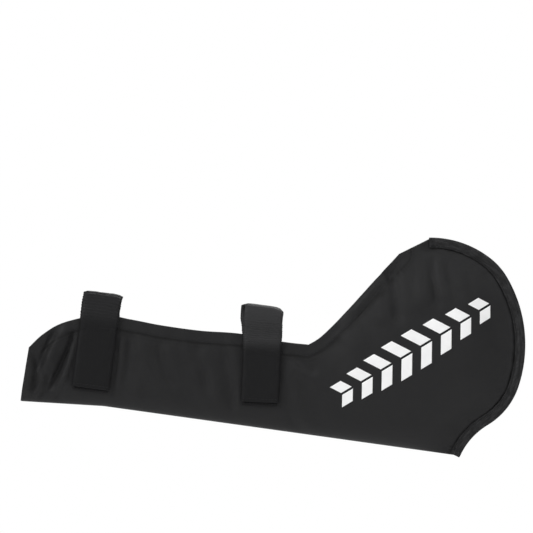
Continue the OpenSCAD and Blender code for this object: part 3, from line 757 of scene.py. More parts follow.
@dataclass(frozen=True)
class HeatSetFilm(Finish):
    """Pale polyurethane film pressed onto the cloth: near white, satin, taking a little of the weave."""

    thread_mm: float = 1.1
    thread_height_mm: float = 0.1
    cloud_mm: float = 8.3333
    dull: str = "#dededf"

    def dress(self, tree: bpy.types.NodeTree, shader: bpy.types.Node) -> None:
        """Adds a slightly cloudy tone, with the cloth's threads showing through."""
        uv = add_node(tree, "ShaderNodeUVMap", CLOTH_MAP)
        weave = woven_height(tree, uv, self.thread_mm * MM)
        slow = add_node(tree, "ShaderNodeTexNoise", Vector=uv, Scale=1 / (self.cloud_mm * MM), Detail=3.0)
        tone = add_node(tree, MATH, TIMES_PLUS, slow, 0.5, -0.1)
        colour = add_node(tree, "ShaderNodeMix", BLEND, i0=tone, i6=linear(self.colour),
                          i7=linear(self.dull)).outputs[2]
        bump = add_node(tree, "ShaderNodeBump", Strength=0.35, Distance=self.thread_height_mm * MM,
                        Height=weave)
        plug(tree, shader, Base_Color=colour, Normal=bump)


@dataclass(frozen=True)
class TwistedThread(Finish):
    """Polyester sewing thread: slightly shiny, with the slanted twist of its plies."""

    ply_mm: float = 0.4488
    ply_height_mm: float = 0.1
    twist: float = 35.0
    lit: str = "#1c1c1e"

    def dress(self, tree: bpy.types.NodeTree, shader: bpy.types.Node) -> None:
        """Adds a fine slanted twist in bump and tone. The wave texture makes 20 bands in 2 pi of scale."""
        place = add_node(tree, "ShaderNodeTexCoord").outputs["Object"]
        turned = add_node(tree, "ShaderNodeMapping", Vector=place,
                          Rotation=(0.0, math.radians(self.twist), 0.0))
        ply = add_node(tree, "ShaderNodeTexWave", Vector=turned, Scale=2 * math.pi / (20 * self.ply_mm * MM),
                       Distortion=1.0).outputs["Fac"]
        colour = add_node(tree, "ShaderNodeMix", BLEND, i0=ply, i6=linear(self.colour),
                          i7=linear(self.lit)).outputs[2]
        bump = add_node(tree, "ShaderNodeBump", Strength=0.5, Distance=self.ply_height_mm * MM, Height=ply)
        plug(tree, shader, Base_Color=colour, Normal=bump)


@dataclass(frozen=True)
class Finishes:
    """Every finish of the cover, made once."""

    cloth: bpy.types.Material
    tape: bpy.types.Material
    webbing: bpy.types.Material
    hooks: bpy.types.Material
    pile: bpy.types.Material
    thread: bpy.types.Material
    film: bpy.types.Material

    @classmethod
    def build(cls) -> "Finishes":
        """Returns the set of materials."""
        return cls(
            cloth=CoatedCloth("coated polyester cloth", "#171718", roughness=0.6, specular=0.22).make(),
            tape=RibbedTape("grosgrain binding tape", "#0f0f10", roughness=0.62, specular=0.22).make(),
            # bent: the paler colour of the painted highlight on each strap's bend
            webbing=RibbedTape("strap tape of nylon", "#0e0e0f", roughness=0.6, specular=0.17, rib_mm=0.9,
                               rib_height_mm=0.1, bright="#18181a", bent="#313132", streaks=0.8).make(),
            hooks=FuzzyPile("nylon hook tape", "#101011", roughness=0.8, specular=0.2).make(),
            pile=FuzzyPile("nylon loop pile", "#101011", roughness=0.9, specular=0.2).make(),
            thread=TwistedThread("twisted polyester thread", "#0c0c0d", roughness=0.55, specular=0.25).make(),
            film=HeatSetFilm("pale heat-set film", "#f1f1f1", roughness=0.42).make())


def link_object(name: str, data: bpy.types.ID) -> bpy.types.Object:
    """Returns a new object of the scene, with its mesh, lamp or camera."""
    thing = bpy.data.objects.new(name, data)
    bpy.context.scene.collection.objects.link(thing)
    return thing


def mesh_object(name: str, points: Array, faces: Sequence[Sequence[int]], material: bpy.types.Material,
                uv: Optional[Array] = None, smooth: bool = True) -> bpy.types.Object:
    """Makes an object from points in millimetres.

    Args:
        name: the piece's name.
        points: corners, one row each, in millimetres.
        faces: corner numbers of each face, seen anticlockwise from outside.
        material: its finish.
        uv: a pair of metres for each corner, kept as the map named cloth.
        smooth: whether faces are shaded smooth.

    Returns:
        The new object, linked to the scene.
    """
    mesh = bpy.data.meshes.new(name)
    mesh.from_pydata((np.asarray(points) * MM).tolist(), [], [list(f) for f in faces])
    mesh.materials.append(material)
    if smooth:
        mesh.shade_smooth()
    if uv is not None:
        layer = mesh.uv_layers.new(name="cloth")
        index = np.empty(len(mesh.loops), dtype=np.int32)
        mesh.loops.foreach_get("vertex_index", index)
        layer.data.foreach_set("uv", np.asarray(uv, np.float32)[index].ravel())
    mesh.update()
    return link_object(name, mesh)


def add_attribute(mesh: bpy.types.Mesh, name: str, values: Array) -> None:
    """Stores a number, or a row of three, for each point of a mesh."""
    kind, key = ("FLOAT", "value") if values.ndim == 1 else ("FLOAT_VECTOR", "vector")
    attribute = mesh.attributes.new(name, kind, "POINT")
    attribute.data.foreach_set(key, values.astype(np.float32).ravel())


def thread_row(p: Array, y: Array, side: Side) -> Array:
    """Returns points [x, z] at the depth y, and the outward normal of a panel, side by side in each row."""
    line = np.stack([p[:, 0], np.broadcast_to(y, len(p)), p[:, 1]], -1)
    normal = np.tile([0.0, side.value, 0.0], (len(p), 1))
    return np.concatenate([line, normal], -1)


def grid_normals(g: Array) -> Array:
    """Returns the normal at each point of a grid, from its rows crossed with its columns."""
    return unit(np.cross(np.gradient(g, axis=0), np.gradient(g, axis=1)))


def grid_of(columns: list[Array]) -> Array:
    """Returns the grid of points that its columns make, side by side."""
    return np.stack(columns, 1)


def map_of(run: Array, across: Array) -> Array:
    """Returns a pair of metres for each grid point, from its distances in millimetres."""
    return np.stack(np.broadcast_arrays(run[:, None], across[None]), -1) * MM


def quads(number: Array) -> Array:
    """Returns the four corner numbers of each cell of a grid of numbers."""
    cells = [number[:-1, :-1], number[1:, :-1], number[1:, 1:], number[:-1, 1:]]
    return np.stack(cells, -1).reshape(-1, 4)


def border(number: Array, start: int = 0) -> Array:
    """Returns the numbers round the edge of a grid, from a row of its first column."""
    return np.concatenate([number[start:, 0], number[-1, 1:], number[-2::-1, -1], number[0, -2::-1]])


def walls(edge: Array, layer: int) -> Array:
    """Returns the faces that join an edge to the same edge on the other face of the sheet."""
    return np.stack([edge[:-1] + layer, edge[1:] + layer, edge[1:], edge[:-1]], -1)


def sheet_object(name: str, g: Array, thickness: float, material: bpy.types.Material, uv: Array,
                 edge_round: float = 0.55) -> bpy.types.Object:
    """Makes a sheet of cloth or tape with soft edges on a grid of middle points.

    Args:
        name: the piece's name.
        g: grid of middle points, in millimetres, whose rows crossed with its columns point outwards.
        thickness: thickness of the sheet.
        material: its finish.
        uv: a pair of metres for each grid point.
        edge_round: share of the thickness that is left at the very edge.

    Returns:
        The new object.
    """
    ni, nk = g.shape[:2]
    half = np.full((ni, nk, 1), thickness / 2 * edge_round)
    half[1:-1, 1:-1] = thickness / 2
    offset = grid_normals(g) * half
    number = np.arange(ni * nk).reshape(ni, nk)
    top = quads(number)
    faces = np.concatenate([top, top[:, ::-1] + ni * nk, walls(border(number), ni * nk)])
    points = np.concatenate([(g + offset).reshape(-1, 3), (g - offset).reshape(-1, 3)])
    flat = uv.reshape(-1, 2)
    return mesh_object(name, points, faces.tolist(), material, np.concatenate([flat, flat]))


def finish_modifier(thing: bpy.types.Object) -> bpy.types.Object:
    """Turns an object's modifiers into its plain mesh.

    Args:
        thing: an object with modifiers.

    Returns:
        The same object, with the evaluated mesh and no modifiers.
    """
    graph = bpy.context.evaluated_depsgraph_get()
    mesh = bpy.data.meshes.new_from_object(thing.evaluated_get(graph))
    mesh.name = thing.name
    thing.modifiers.clear()
    old = thing.data
    thing.data = mesh
    bpy.data.meshes.remove(old)
    return thing


class NodeTool:
    """One geometry tree with named inputs, used as a modifier on pieces of this object."""

    def __init__(self, name: str, **inputs: str) -> None:
        """Starts the tree.

        Args:
            name: the tree's name.
            **inputs: the kind of each input after the geometry, by its name.
        """
        self.tree = bpy.data.node_groups.new(name, "GeometryNodeTree")
        face = self.tree.interface
        face.new_socket("Geometry", in_out="INPUT", socket_type="NodeSocketGeometry")
        face.new_socket("Geometry", in_out="OUTPUT", socket_type="NodeSocketGeometry")
        self.keys = {label: face.new_socket(label, in_out="INPUT", socket_type=f"NodeSocket{kind}").identifier
                     for label, kind in inputs.items()}
        self.source = add_node(self.tree, "NodeGroupInput")

    def input(self, label: str) -> bpy.types.NodeSocket:
        """Returns the socket of a named input inside the tree."""
        return self.source.outputs[label]

    def close(self, geometry: bpy.types.Node) -> None:
        """Ends the tree: makes instances real and sets the material."""
        real = add_node(self.tree, "GeometryNodeRealizeInstances", Geometry=geometry)
        done = add_node(self.tree, "GeometryNodeSetMaterial", Geometry=real, Material=self.input("Material"))
        add_node(self.tree, "NodeGroupOutput", Geometry=done)

    def run(self, thing: bpy.types.Object, **values: object) -> bpy.types.Object:
        """Runs the tree on an object and keeps the result as its plain mesh.

        Args:
            thing: the object to work on.
            **values: the inputs to set, by their names.

        Returns:
            The same object.
        """
        modifier = thing.modifiers.new(self.tree.name, "NODES")
        modifier.node_group = self.tree
        for label, value in values.items():
            modifier[self.keys[label]] = value
        return finish_modifier(thing)


def stitch_tool() -> NodeTool:
    """Builds the tree that lays stitches along lines of points.

    The points carry the vector attribute out, the normal of the cloth below them. Each stitch is a small
    rounded length of thread along the line, and its tilt is drawn with a fixed seed.

    Returns:
        The tool, with inputs for pitch, length, width, height, tilt, seed and material.
    """
    tool = NodeTool("stitch row", Pitch="Float", Length="Float", Width="Float", Height="Float",
                    Tilt="Float", Seed="Int", Material="Material")
    tree = tool.tree
    curve = add_node(tree, "GeometryNodeMeshToCurve", Mesh=tool.input("Geometry"))
    points = add_node(tree, "GeometryNodeResampleCurve", {"mode": "LENGTH"}, Curve=curve,
                      Length=tool.input("Pitch"))
    tangent = add_node(tree, "GeometryNodeInputTangent")
    out = add_node(tree, "GeometryNodeInputNamedAttribute", {"data_type": "FLOAT_VECTOR"}, Name="out")
    upright = add_node(tree, "FunctionNodeAlignRotationToVector", {"axis": "Z"}, Vector=out)
    turn = add_node(tree, "FunctionNodeAlignRotationToVector", {"axis": "X", "pivot_axis": "Z"},
                    Rotation=upright, Vector=tangent)
    low = add_node(tree, MATH, TIMES, tool.input("Tilt"), -1.0)
    wobble = add_node(tree, "FunctionNodeRandomValue", {"data_type": "FLOAT"}, i2=low, i3=tool.input("Tilt"),
                      Seed=tool.input("Seed")).outputs[1]
    angle = add_node(tree, "FunctionNodeAxisAngleToRotation", Axis=(0.0, 0.0, 1.0), Angle=wobble)
    tilted = add_node(tree, "FunctionNodeRotateRotation", {"rotation_space": "LOCAL"}, turn, angle)
    ball = add_node(tree, "GeometryNodeMeshUVSphere", Segments=8, Rings=6, Radius=0.5)
    size = add_node(tree, "ShaderNodeCombineXYZ", X=tool.input("Length"), Y=tool.input("Width"),
                    Z=tool.input("Height"))
    shaped = add_node(tree, "GeometryNodeTransform", Geometry=ball, Scale=size)
    soft = add_node(tree, "GeometryNodeSetShadeSmooth", Geometry=shaped)
    rows = add_node(tree, "GeometryNodeInstanceOnPoints", Points=points, Instance=soft, Rotation=tilted)
    tool.close(rows)
    return tool


def rib_tool(wander_mm: float = 9.0909, uneven_mm: float = 3.8462) -> NodeTool:
    """Builds the tree that raises cross ribs on a bent strap.

    The mesh carries run, the distance along the strap in metres, and ribbed, 1 where it bends.

    Args:
        wander_mm: size of the patches in which the ribs leave their even places together.
        uneven_mm: size of the patches in which they are higher or lower.

    Returns:
        The tool, with inputs for pitch, height and material.
    """
    tool = NodeTool("strap ribs", Pitch="Float", Height="Float", Material="Material")
    tree = tool.tree
    run = add_node(tree, "GeometryNodeInputNamedAttribute", {"data_type": "FLOAT"}, Name="run")
    mask = add_node(tree, "GeometryNodeInputNamedAttribute", {"data_type": "FLOAT"}, Name="ribbed")
    place = add_node(tree, "GeometryNodeInputPosition")
    slow = add_node(tree, "ShaderNodeTexNoise", Vector=place, Scale=1 / (wander_mm * MM), Detail=1.0)
    drift = add_node(tree, MATH, TIMES_PLUS, slow, 5.0, -2.5)
    count = add_node(tree, MATH, {"operation": "DIVIDE"}, run, tool.input("Pitch"))
    turns = add_node(tree, MATH, TIMES_PLUS, count, 2 * math.pi, drift)
    wave = add_node(tree, MATH, {"operation": "COSINE"}, turns)
    crest = add_node(tree, MATH, TIMES_PLUS, wave, 0.5, 0.5)
    uneven = add_node(tree, "ShaderNodeTexNoise", Vector=place, Scale=1 / (uneven_mm * MM), Detail=2.0)
    lift = add_node(tree, MATH, TIMES_PLUS, uneven, 2.2, -0.2)
    for share in (crest, mask, tool.input("Height")):
        lift = add_node(tree, MATH, TIMES, lift, share)
    normal = add_node(tree, "GeometryNodeInputNormal")
    offset = add_node(tree, "ShaderNodeVectorMath", {"operation": "SCALE"}, normal, Scale=lift)
    moved = add_node(tree, "GeometryNodeSetPosition", Geometry=tool.input("Geometry"), Offset=offset)
    tool.close(moved)
    return tool


@dataclass
class FoldedCloth:
    """The cloth of the cover: two panels in one piece, folded below and free at the rim.

    A panel is a grid. Its stations run along the closed edge, from the mouth over the fold and up the rim,
    and its rows run from there to the open edge. Both lie closer beside seams.
    """

    form: CoverForm
    finishes: Finishes
    tail_stations: int = 128
    lobe_stations: int = 34
    rim_stations: int = 84
    hem_stations: int = 7
    near_rows: tuple[float, ...] = (0, 0.4, 0.9, 1.6, 2.6, 3.8, 5.2, 6.8)
    seam_rows: tuple[float, ...] = (-0.6, 0, 0.6, 1.2, 1.9, 2.7, 3.8, 5.4, 7.6, 10.6, 14, 17.5)
    middle_rows: int = 29
    hem_rows: tuple[float, ...] = (0, 1.6, 4, 6.5, 9, 10.6, 11.6, 12.0)
    hem_step: float = 0.7
    hem_press: float = 0.8
    edge_round: float = 0.45
    fold_share: float = 0.35
    corner: int = field(init=False)
    closed_edge: Array = field(init=False)
    grids: dict[Side, Array] = field(init=False)
    normals: dict[Side, Array] = field(init=False)

    def __post_init__(self) -> None:
        """Works out the grids of both panels."""
        f = self.form
        mouth, start, hem = -f.mouth_back, f.throat[0] + 4, f.hem_w
        tail = np.concatenate([np.linspace(mouth, mouth + hem, self.hem_stations),
                               np.linspace(mouth + hem + self.hem_step, start, self.tail_stations)])
        lobe = np.linspace(start, f.corner_front, self.lobe_stations + 1)[1:]
        rim = f.rim()
        rim_l = length_of(rim)
        rim_s = np.concatenate([np.linspace(0, rim_l - hem - self.hem_step, self.rim_stations + 1)[1:],
                                np.linspace(rim_l - hem, rim_l, self.hem_stations)])
        fold_x = np.concatenate([tail, lobe])
        self.corner = len(fold_x) - 1
        self.closed_edge = np.concatenate([np.stack([fold_x, f.fold_z(fold_x)], -1), along(rim, rim_s)])
        self.grids = {}
        for side in Side:
            open_edge = np.concatenate([self.tail_match(tail), self.lobe_match(side, lobe, rim_s, rim_l)])
            self.grids[side] = self.panel(open_edge, side)
        self.normals = {side: self.panel_normals(side) for side in Side}

    @property
    def hem_row(self) -> int:
        """Number of the row at the hem's inner edge."""
        return len(self.near_rows) + len(self.seam_rows) + self.middle_rows

    @property
    def rim_edge(self) -> Array:
        """The part of the closed edge that runs up the rim."""
        return self.closed_edge[self.corner:]

    def tail_match(self, x: Array) -> Array:
        """Returns the points of the top edge that face the points x of the fold."""
        f = self.form
        edge = f.tail_edge()
        t = (x + f.mouth_back) / (f.mouth_back + f.throat[0] + 4)
        want = mix(edge[0, 0], edge[-1, 0], t)
        return np.stack([want, np.interp(want, edge[:, 0], edge[:, 1])], -1)

    def lobe_match(self, side: Side, lobe: Array, rim_s: Array, rim_l: float) -> Array:
        """Returns the points of a panel's open edge in the lobe that face its closed edge.

        Args:
            side: the panel.
            lobe: x of the stations on the fold.
            rim_s: distances of the stations along the rim.
            rim_l: length of the rim.

        Returns:
            One point for each station.
        """
        f = self.form
        edge = f.lobe_edge(side)
        total = length_of(edge)
        first = total * self.fold_share
        start = f.throat[0] + 4
        low = first * (lobe - start) / (f.corner_front - start)
        end = f.hem_w + self.hem_step
        main = mix(first, total - end, rim_s / (rim_l - end))
        high = np.where(rim_l - rim_s < end + 0.01, total - (rim_l - rim_s), main)
        return along(edge, np.concatenate([low, high]))

    def row_places(self, length: float) -> Array:
        """Returns the distances of a station's rows from the closed edge, for its length."""
        f = self.form
        near = np.concatenate([self.near_rows, f.bind_w + np.array(self.seam_rows)])
        to = length - f.hem_w - self.hem_step
        fit = min(1.0, to / (near[-1] * 1.3))
        middle = np.linspace(near[-1] * fit, to, self.middle_rows + 1)[1:]
        return np.concatenate([near * fit, middle, length - f.hem_w + np.array(self.hem_rows)])

    def panel(self, open_edge: Array, side: Side) -> Array:
        """Returns the grid of a panel's middle points, from its open edge and its side."""
        a, b = self.closed_edge, open_edge
        length = np.linalg.norm(b - a, axis=1)
        share = np.stack([self.row_places(float(v)) / v for v in length])
        flat = a[:, None] + (b - a)[:, None] * share[..., None]
        y = side.value * self.form.depth(flat.reshape(-1, 2), side).reshape(share.shape)
        y[:self.corner + 1, 0] = 0
        y[self.corner + 1:, 0] = side.value * self.form.pinch
        return np.stack([flat[..., 0], y, flat[..., 1]], -1)

    def panel_normals(self, side: Side) -> Array:
        """Returns the outward normals of a panel, continuous round the fold."""
        g, other = self.grids[side], self.grids[Side(-side.value)]
        normal = -side.value * grid_normals(g)
        out, back = (g, other) if side is Side.OUTER else (other, g)
        run = np.gradient(self.grids[Side.OUTER][:, 0], axis=0)
        normal[:self.corner + 1, 0] = unit(np.cross(run, out[:, 1] - back[:, 1]))[:self.corner + 1]
        return normal

    def inner_depth(self, side: Side) -> Array:
        """Returns how far the inside of the cloth lies from its middle, with the turned hems."""
        g = self.grids[side]
        free = np.maximum(0, np.abs(g[..., 1]) - self.form.pinch)
        hem = np.ones(free.shape, bool)
        hem[self.hem_stations:-self.hem_stations, :self.hem_row] = False
        extra = np.minimum(self.form.cloth_t * self.hem_press, free)
        return self.form.cloth_t / 2 + np.where(hem, extra, 0)

    def uv_of(self, side: Side) -> Array:
        """Returns the cloth's own coordinates, in metres, measured over its surface from the fold."""
        g = self.grids[side]
        flat = g[..., [0, 2]]
        step = np.linalg.norm(np.diff(g, axis=1), axis=-1)
        plan = np.linalg.norm(np.diff(flat, axis=1), axis=-1)
        extra = np.concatenate([np.zeros((len(g), 1)), np.cumsum(step - plan, axis=1)], axis=1)
        uv = flat.copy()
        uv[..., 1] += extra
        return uv * MM

    def build(self) -> bpy.types.Object:
        """Returns the cloth as one piece, which stands for the plain solid of the model."""
        ni, nk = self.grids[Side.OUTER].shape[:2]
        out_at = np.arange(ni * nk).reshape(ni, nk)
        in_at = out_at + ni * nk
        in_at[:self.corner + 1, 0] = out_at[:self.corner + 1, 0]
        soft = np.ones((ni, nk))
        soft[0, :] = soft[-1, :] = soft[:, -1] = self.edge_round
        outside, inside = [], []
        for side in Side:
            g, n = self.grids[side], self.normals[side]
            outside.append((g + n * (self.form.cloth_t / 2 * soft)[..., None]).reshape(-1, 3))
            inside.append((g - n * (self.inner_depth(side) * soft)[..., None]).reshape(-1, 3))
        layer = 2 * ni * nk
        skin = np.concatenate([quads(out_at), quads(in_at)[:, [0, 3, 2, 1]]])
        edges = [border(out_at, self.corner), border(in_at, self.corner)[::-1]]
        faces = np.concatenate([skin, skin[:, ::-1] + layer, *(walls(edge, layer) for edge in edges)])
        uv = np.concatenate([self.uv_of(side).reshape(-1, 2) for side in Side] * 2)
        thing = mesh_object("folded_cloth", np.concatenate(outside + inside), faces.tolist(),
                            self.finishes.cloth, uv)
        # painted shade of the seam ditches on both panels, for the cloth's shader
        dark = [self.form.painted_seam_shade(self.grids[side][..., [0, 2]].reshape(-1, 2), side) for side in Side]
        add_attribute(thing.data, "painted_shade", np.concatenate(dark * 2))
        drop_loose(thing.data)
        return thing

    def hem_line(self, side: Side, inset: float = 1.9) -> Array:
        """Returns the row of surface points that lies inside the hem's inner edge.

        Args:
            side: the panel.
            inset: distance of the row from the inner edge of the hem.

        Returns:
            Points along the open edge, and the normals there, side by side in each row.
        """
        ends = self.hem_stations - 1
        n = self.normals[side][ends:-ends]
        g = self.grids[side][ends:-ends] + n * self.form.cloth_t / 2
        k = self.hem_row
        gap = np.linalg.norm(g[:, k + 1] - g[:, k], axis=-1, keepdims=True)
        t = np.clip(inset / np.maximum(gap, 1e-6), 0, 1)
        return np.concatenate([mix(g[:, k], g[:, k + 1], t), n[:, k]], axis=-1)


def drop_loose(mesh: bpy.types.Mesh) -> None:
    """Deletes the points of a mesh that no face uses."""
    work = bmesh.new()
    work.from_mesh(mesh)
    bmesh.ops.delete(work, geom=[v for v in work.verts if not v.link_faces], context="VERTS")
    work.to_mesh(mesh)
    work.free()


@dataclass
class RimBinding:
    """The folded tape round the edges of both panels.

    An arm's section is given from the tape's edge to the rim: shares of the width, and of the depth at which
    the arm lies. The nose's section follows, as millimetres past the rim and shares of the same depth.
    """

    cloth: FoldedCloth
    finishes: Finishes
    thickness: float = 0.9
    overrun: float = 2.0
    pucker: float = 0.098
    pucker_pitch: float = 9.0
    stations: int = 320
    arm: tuple[tuple[float, float], ...] = (
        (1.0, 1.02), (0.97, 1.08), (0.9, 1.03), (0.84, 0.93), (0.79, 0.93), (0.72, 1.04), (0.6, 1.14),
        (0.44, 1.19), (0.28, 1.18), (0.14, 1.12))
    nose: tuple[tuple[float, float], ...] = ((0.1, 1.0), (0.65, 0.8), (1.0, 0.42))
    nose_tip: float = 1.08
    stitch_inset: float = 1.6
    stitch_clear: float = 5.5
    stitch_lift: float = 0.02
    stitch_points: int = 260
    tack_clear: float = 3.5
    tack_reach: tuple[float, float] = (1.2, 8.6)
    tack_lift: float = 0.12
    tack_points: int = 20

    @property
    def face_y(self) -> float:
        """Depth of the tape's middle on each side."""
        f = self.cloth.form
        return f.pinch + f.cloth_t / 2 + f.layer_gap + self.thickness / 2

    def build(self) -> bpy.types.Object:
        """Returns the tape, with small puckers where its thread pulls it."""
        edge, w = self.cloth.rim_edge, self.cloth.form.bind_w
        dense = along(edge, np.linspace(0, length_of(edge), self.stations))
        start = dense[0] - unit(dense[1] - dense[0]) * self.overrun
        dense = np.concatenate([[start], dense])
        run = run_along(dense)
        half = [(-w * reach, depth) for reach, depth in self.arm] + list(self.nose)
        section = np.array([(a, -b) for a, b in half] + [(self.nose_tip, 0.0)] + half[::-1])
        wave = np.sin(run * 2 * math.pi / self.pucker_pitch + 1.3 * np.sin(run / 31))
        slow = np.sin(run / 17.0 + 2 * np.sin(run / 53))
        reach = section[None, :, 0] + np.where(section[None, :, 0] < -w * 0.9, 0.25 * slow[:, None], 0)
        middle = bell(section[:, 0] + w * 0.5, w * 0.28)
        lift = 1 + self.pucker * np.abs(wave)[:, None] * middle[None] / self.face_y
        xz = dense[:, None] + off_edge(dense)[:, None] * reach[..., None]
        g = np.stack([xz[..., 0], section[None, :, 1] * self.face_y * lift, xz[..., 1]], -1)
        uv = map_of(run, run_along(section * (1, self.face_y)))
        return sheet_object("binding_tape", g, self.thickness, self.finishes.tape, uv)

    def stitch_lines(self) -> list[Array]:
        """Returns the rows of thread on both sides: points and normals side by side."""
        edge = self.cloth.rim_edge
        places = np.linspace(self.stitch_clear, length_of(edge) - self.stitch_clear, self.stitch_points)
        dense = along(edge, places)
        line = dense - off_edge(dense) * (self.cloth.form.bind_w - self.stitch_inset)
        y = self.face_y + self.thickness / 2 + self.stitch_lift
        return [thread_row(line, side.value * y, side) for side in Side]

    def tack_lines(self) -> list[Array]:
        """Returns the short rows of thread across both ends of the tape, on both sides."""
        edge = self.cloth.rim_edge
        y = self.face_y + self.thickness / 2 + self.tack_lift
        low, high = self.tack_reach
        rows = []
        for s in (self.tack_clear, length_of(edge) - self.tack_clear):
            before, place, after = along(edge, np.array([s - 0.5, s, s + 0.5]))
            out = off_edge(np.array([before, after]))[0]
            line = np.linspace(place - out * low, place - out * high, self.tack_points)
            rows += [thread_row(line, side.value * y, side) for side in Side]
        return rows


@dataclass
class Strap:
    """One strap with its hook tape and the loop patch that it closes on."""

    form: CoverForm
    place: StrapForm
    finishes: Finishes
    thickness: float = 1.6
    bend: float = 9.0
    patch_l: float = 60.0
    patch_t: float = 1.2
    patch_inset: float = 1.5
    patch_show: float = 3.0
    hook_l: float = 50.0
    hook_t: float = 1.0
    anchor_l: float = 36.0
    step: float = 0.55
    columns: int = 13
    tab_rows: int = 70
    tab_columns: int = 25
    curl_edge: float = 0.75
    edge_wander: float = 0.35
    ripple: float = 0.3
    rib_height: float = 0.6
    edge_round: float = 0.4
    seam_inset: float = 3.0
    thread_lift: float = 0.05
    thread_points: int = 24

    @property
    def patch_lift(self) -> float:
        """Height of the patch's middle above the panel's middle."""
        return self.form.cloth_t / 2 + self.form.layer_gap + self.patch_t / 2

    @property
    def hook_lift(self) -> float:
        """Height of the hook tape's middle above the panel's middle."""
        return self.patch_lift + self.patch_t / 2 + self.form.layer_gap + self.hook_t / 2

    @property
    def strap_lift(self) -> float:
        """Height of the strap's middle above the outer panel's middle."""
        return self.hook_lift + self.hook_t / 2 + self.form.layer_gap + self.thickness / 2

    @property
    def anchor_lift(self) -> float:
        """Height of the strap's middle above the inner panel's middle, where it is sewn."""
        return self.form.cloth_t / 2 + self.form.layer_gap + self.thickness / 2

    @property
    def lift_z(self) -> float:
        """Height at which the strap leaves the outer panel."""
        return self.place.end[1] + self.patch_l + 2

    @property
    def sew_z(self) -> float:
        """Height of the top of the sewn end."""
        edge = self.form.tail_edge()
        x = float(self.place.x_at(np.array(0.0)))
        return float(np.interp(x, edge[:, 0], edge[:, 1])) - self.form.hem_w * 0.6

    def leg_place(self, z: Array, c: Array, half: float) -> Array:
        """Returns [x, z] on the strap's leg at the height z and the share c of its half width."""
        s = self.place
        rise = ease((z - s.end[1] - self.patch_l) / (s.top - s.end[1] - self.patch_l))
        lean = np.radians(s.lean + s.top_lean * rise)
        return np.stack([s.x_at(z) + c * half * np.cos(lean), z - c * half * np.sin(lean)], -1)

    @property
    def turn_z(self) -> float:
        """Height at which the strap starts to bend over the top."""
        return self.place.top - self.bend

    def path(self) -> tuple[Array, Array, Array]:
        """Works out the strap's course, from its free end over the top to the end sewn inside.

        Returns:
            Heights, the kind of stretch as a number, and the angle on the bends.
        """
        s, turn = self.place, self.turn_z
        parts = [(Stretch.FREE, s.end[1], self.lift_z), (Stretch.RISE, self.lift_z, turn),
                 (Stretch.OUTER_BEND, 0, 90), (Stretch.INNER_BEND, 90, 180),
                 (Stretch.FALL, turn, self.sew_z), (Stretch.SEWN, self.sew_z, self.sew_z - self.anchor_l)]
        z, kind, angle = [], [], []
        for stretch, a, b in parts:
            bent = stretch in (Stretch.OUTER_BEND, Stretch.INNER_BEND)
            length = abs(math.radians(b - a)) * self.bend if bent else abs(b - a)
            first = 0 if stretch is Stretch.FREE else 1
            values = np.linspace(a, b, max(2, int(length / self.step)))[first:]
            angle.append(np.radians(values) if bent else np.zeros(len(values)))
            z.append(turn + self.bend * np.sin(np.radians(values)) if bent else values)
            kind.append(np.full(len(values), int(stretch)))
        return np.concatenate(z), np.concatenate(kind), np.concatenate(angle)

    def depth_at(self, z: Array, side: Side, c: float) -> Array:
        """Returns the depth of a panel's middle under the strap at a share c of its half width."""
        return self.form.depth(self.leg_place(z, np.full_like(z, c), self.form.strap_w / 2), side)

    def grid(self) -> tuple[Array, Array]:
        """Returns the strap's grid of middle points and its coordinates."""
        s, turn, half = self.place, self.turn_z, self.form.strap_w / 2
        z, kind, angle = self.path()
        run = np.concatenate([[0], np.cumsum(np.hypot(np.diff(z), 0.3))])
        behind = ease((z - self.sew_z) / (turn - self.sew_z))
        aside = np.where(kind == Stretch.INNER_BEND, ease((angle - math.pi / 2) / (math.pi / 5)),
                         behind * (kind >= Stretch.FALL)) * s.inner_shift
        top = ease((z - turn + 4) / (self.bend + 4))
        kinds = [kind == k for k in Stretch][:-1]
        columns = []
        for c in np.linspace(1, -1, self.columns):
            p = self.leg_place(z, np.full_like(z, c), half)
            low = self.depth_at(np.minimum(z, self.lift_z), Side.OUTER, c) + self.strap_lift
            rise = mix(low, s.loop_out, ease((z - self.lift_z) / (turn - self.lift_z)))
            sewn = self.depth_at(np.minimum(z, self.sew_z), Side.INNER, c) + self.anchor_lift
            fall = mix(sewn, s.loop_in, behind)
            over = s.loop_out - self.bend + self.bend * np.cos(angle)
            under = s.loop_in - self.bend - self.bend * np.cos(angle)
            y = np.select(kinds, [-low, -rise, -over, under, fall], sewn)
            curl = (s.droop if c > 0 else 1.0) * abs(c) ** 6 * top
            down = self.curl_edge * abs(c) ** 8 * (kind <= Stretch.RISE)
            wander = lattice_noise(run / 7.5, np.full_like(run, 3.0 * c), Seed.STRAP_EDGE)
            wave = self.ripple * lattice_noise(run / 11, np.full_like(run, c + 5), Seed.STRAP_WAVE)
            x = p[:, 0] + self.edge_wander * wander * abs(c) ** 3 + aside
            y = y + down + wave * np.where(kind == Stretch.FREE, 0.5, 1)
            columns.append(np.stack([x, y, p[:, 1] - curl], -1))
        g = grid_of(columns)
        run = run_along(g[:, self.columns // 2])
        return g, map_of(run, np.linspace(0, self.form.strap_w, self.columns))

    def bent_share(self) -> Array:
        """Returns, along the strap, 1 where it bends over the top, fading out on both legs."""
        z, kind, _ = self.path()
        low = self.place.ribs[0]
        behind = np.where(kind >= Stretch.FALL, ease((z - low - 8) / 6), 1.0)
        return ease((z - low + 6) / 18) * behind

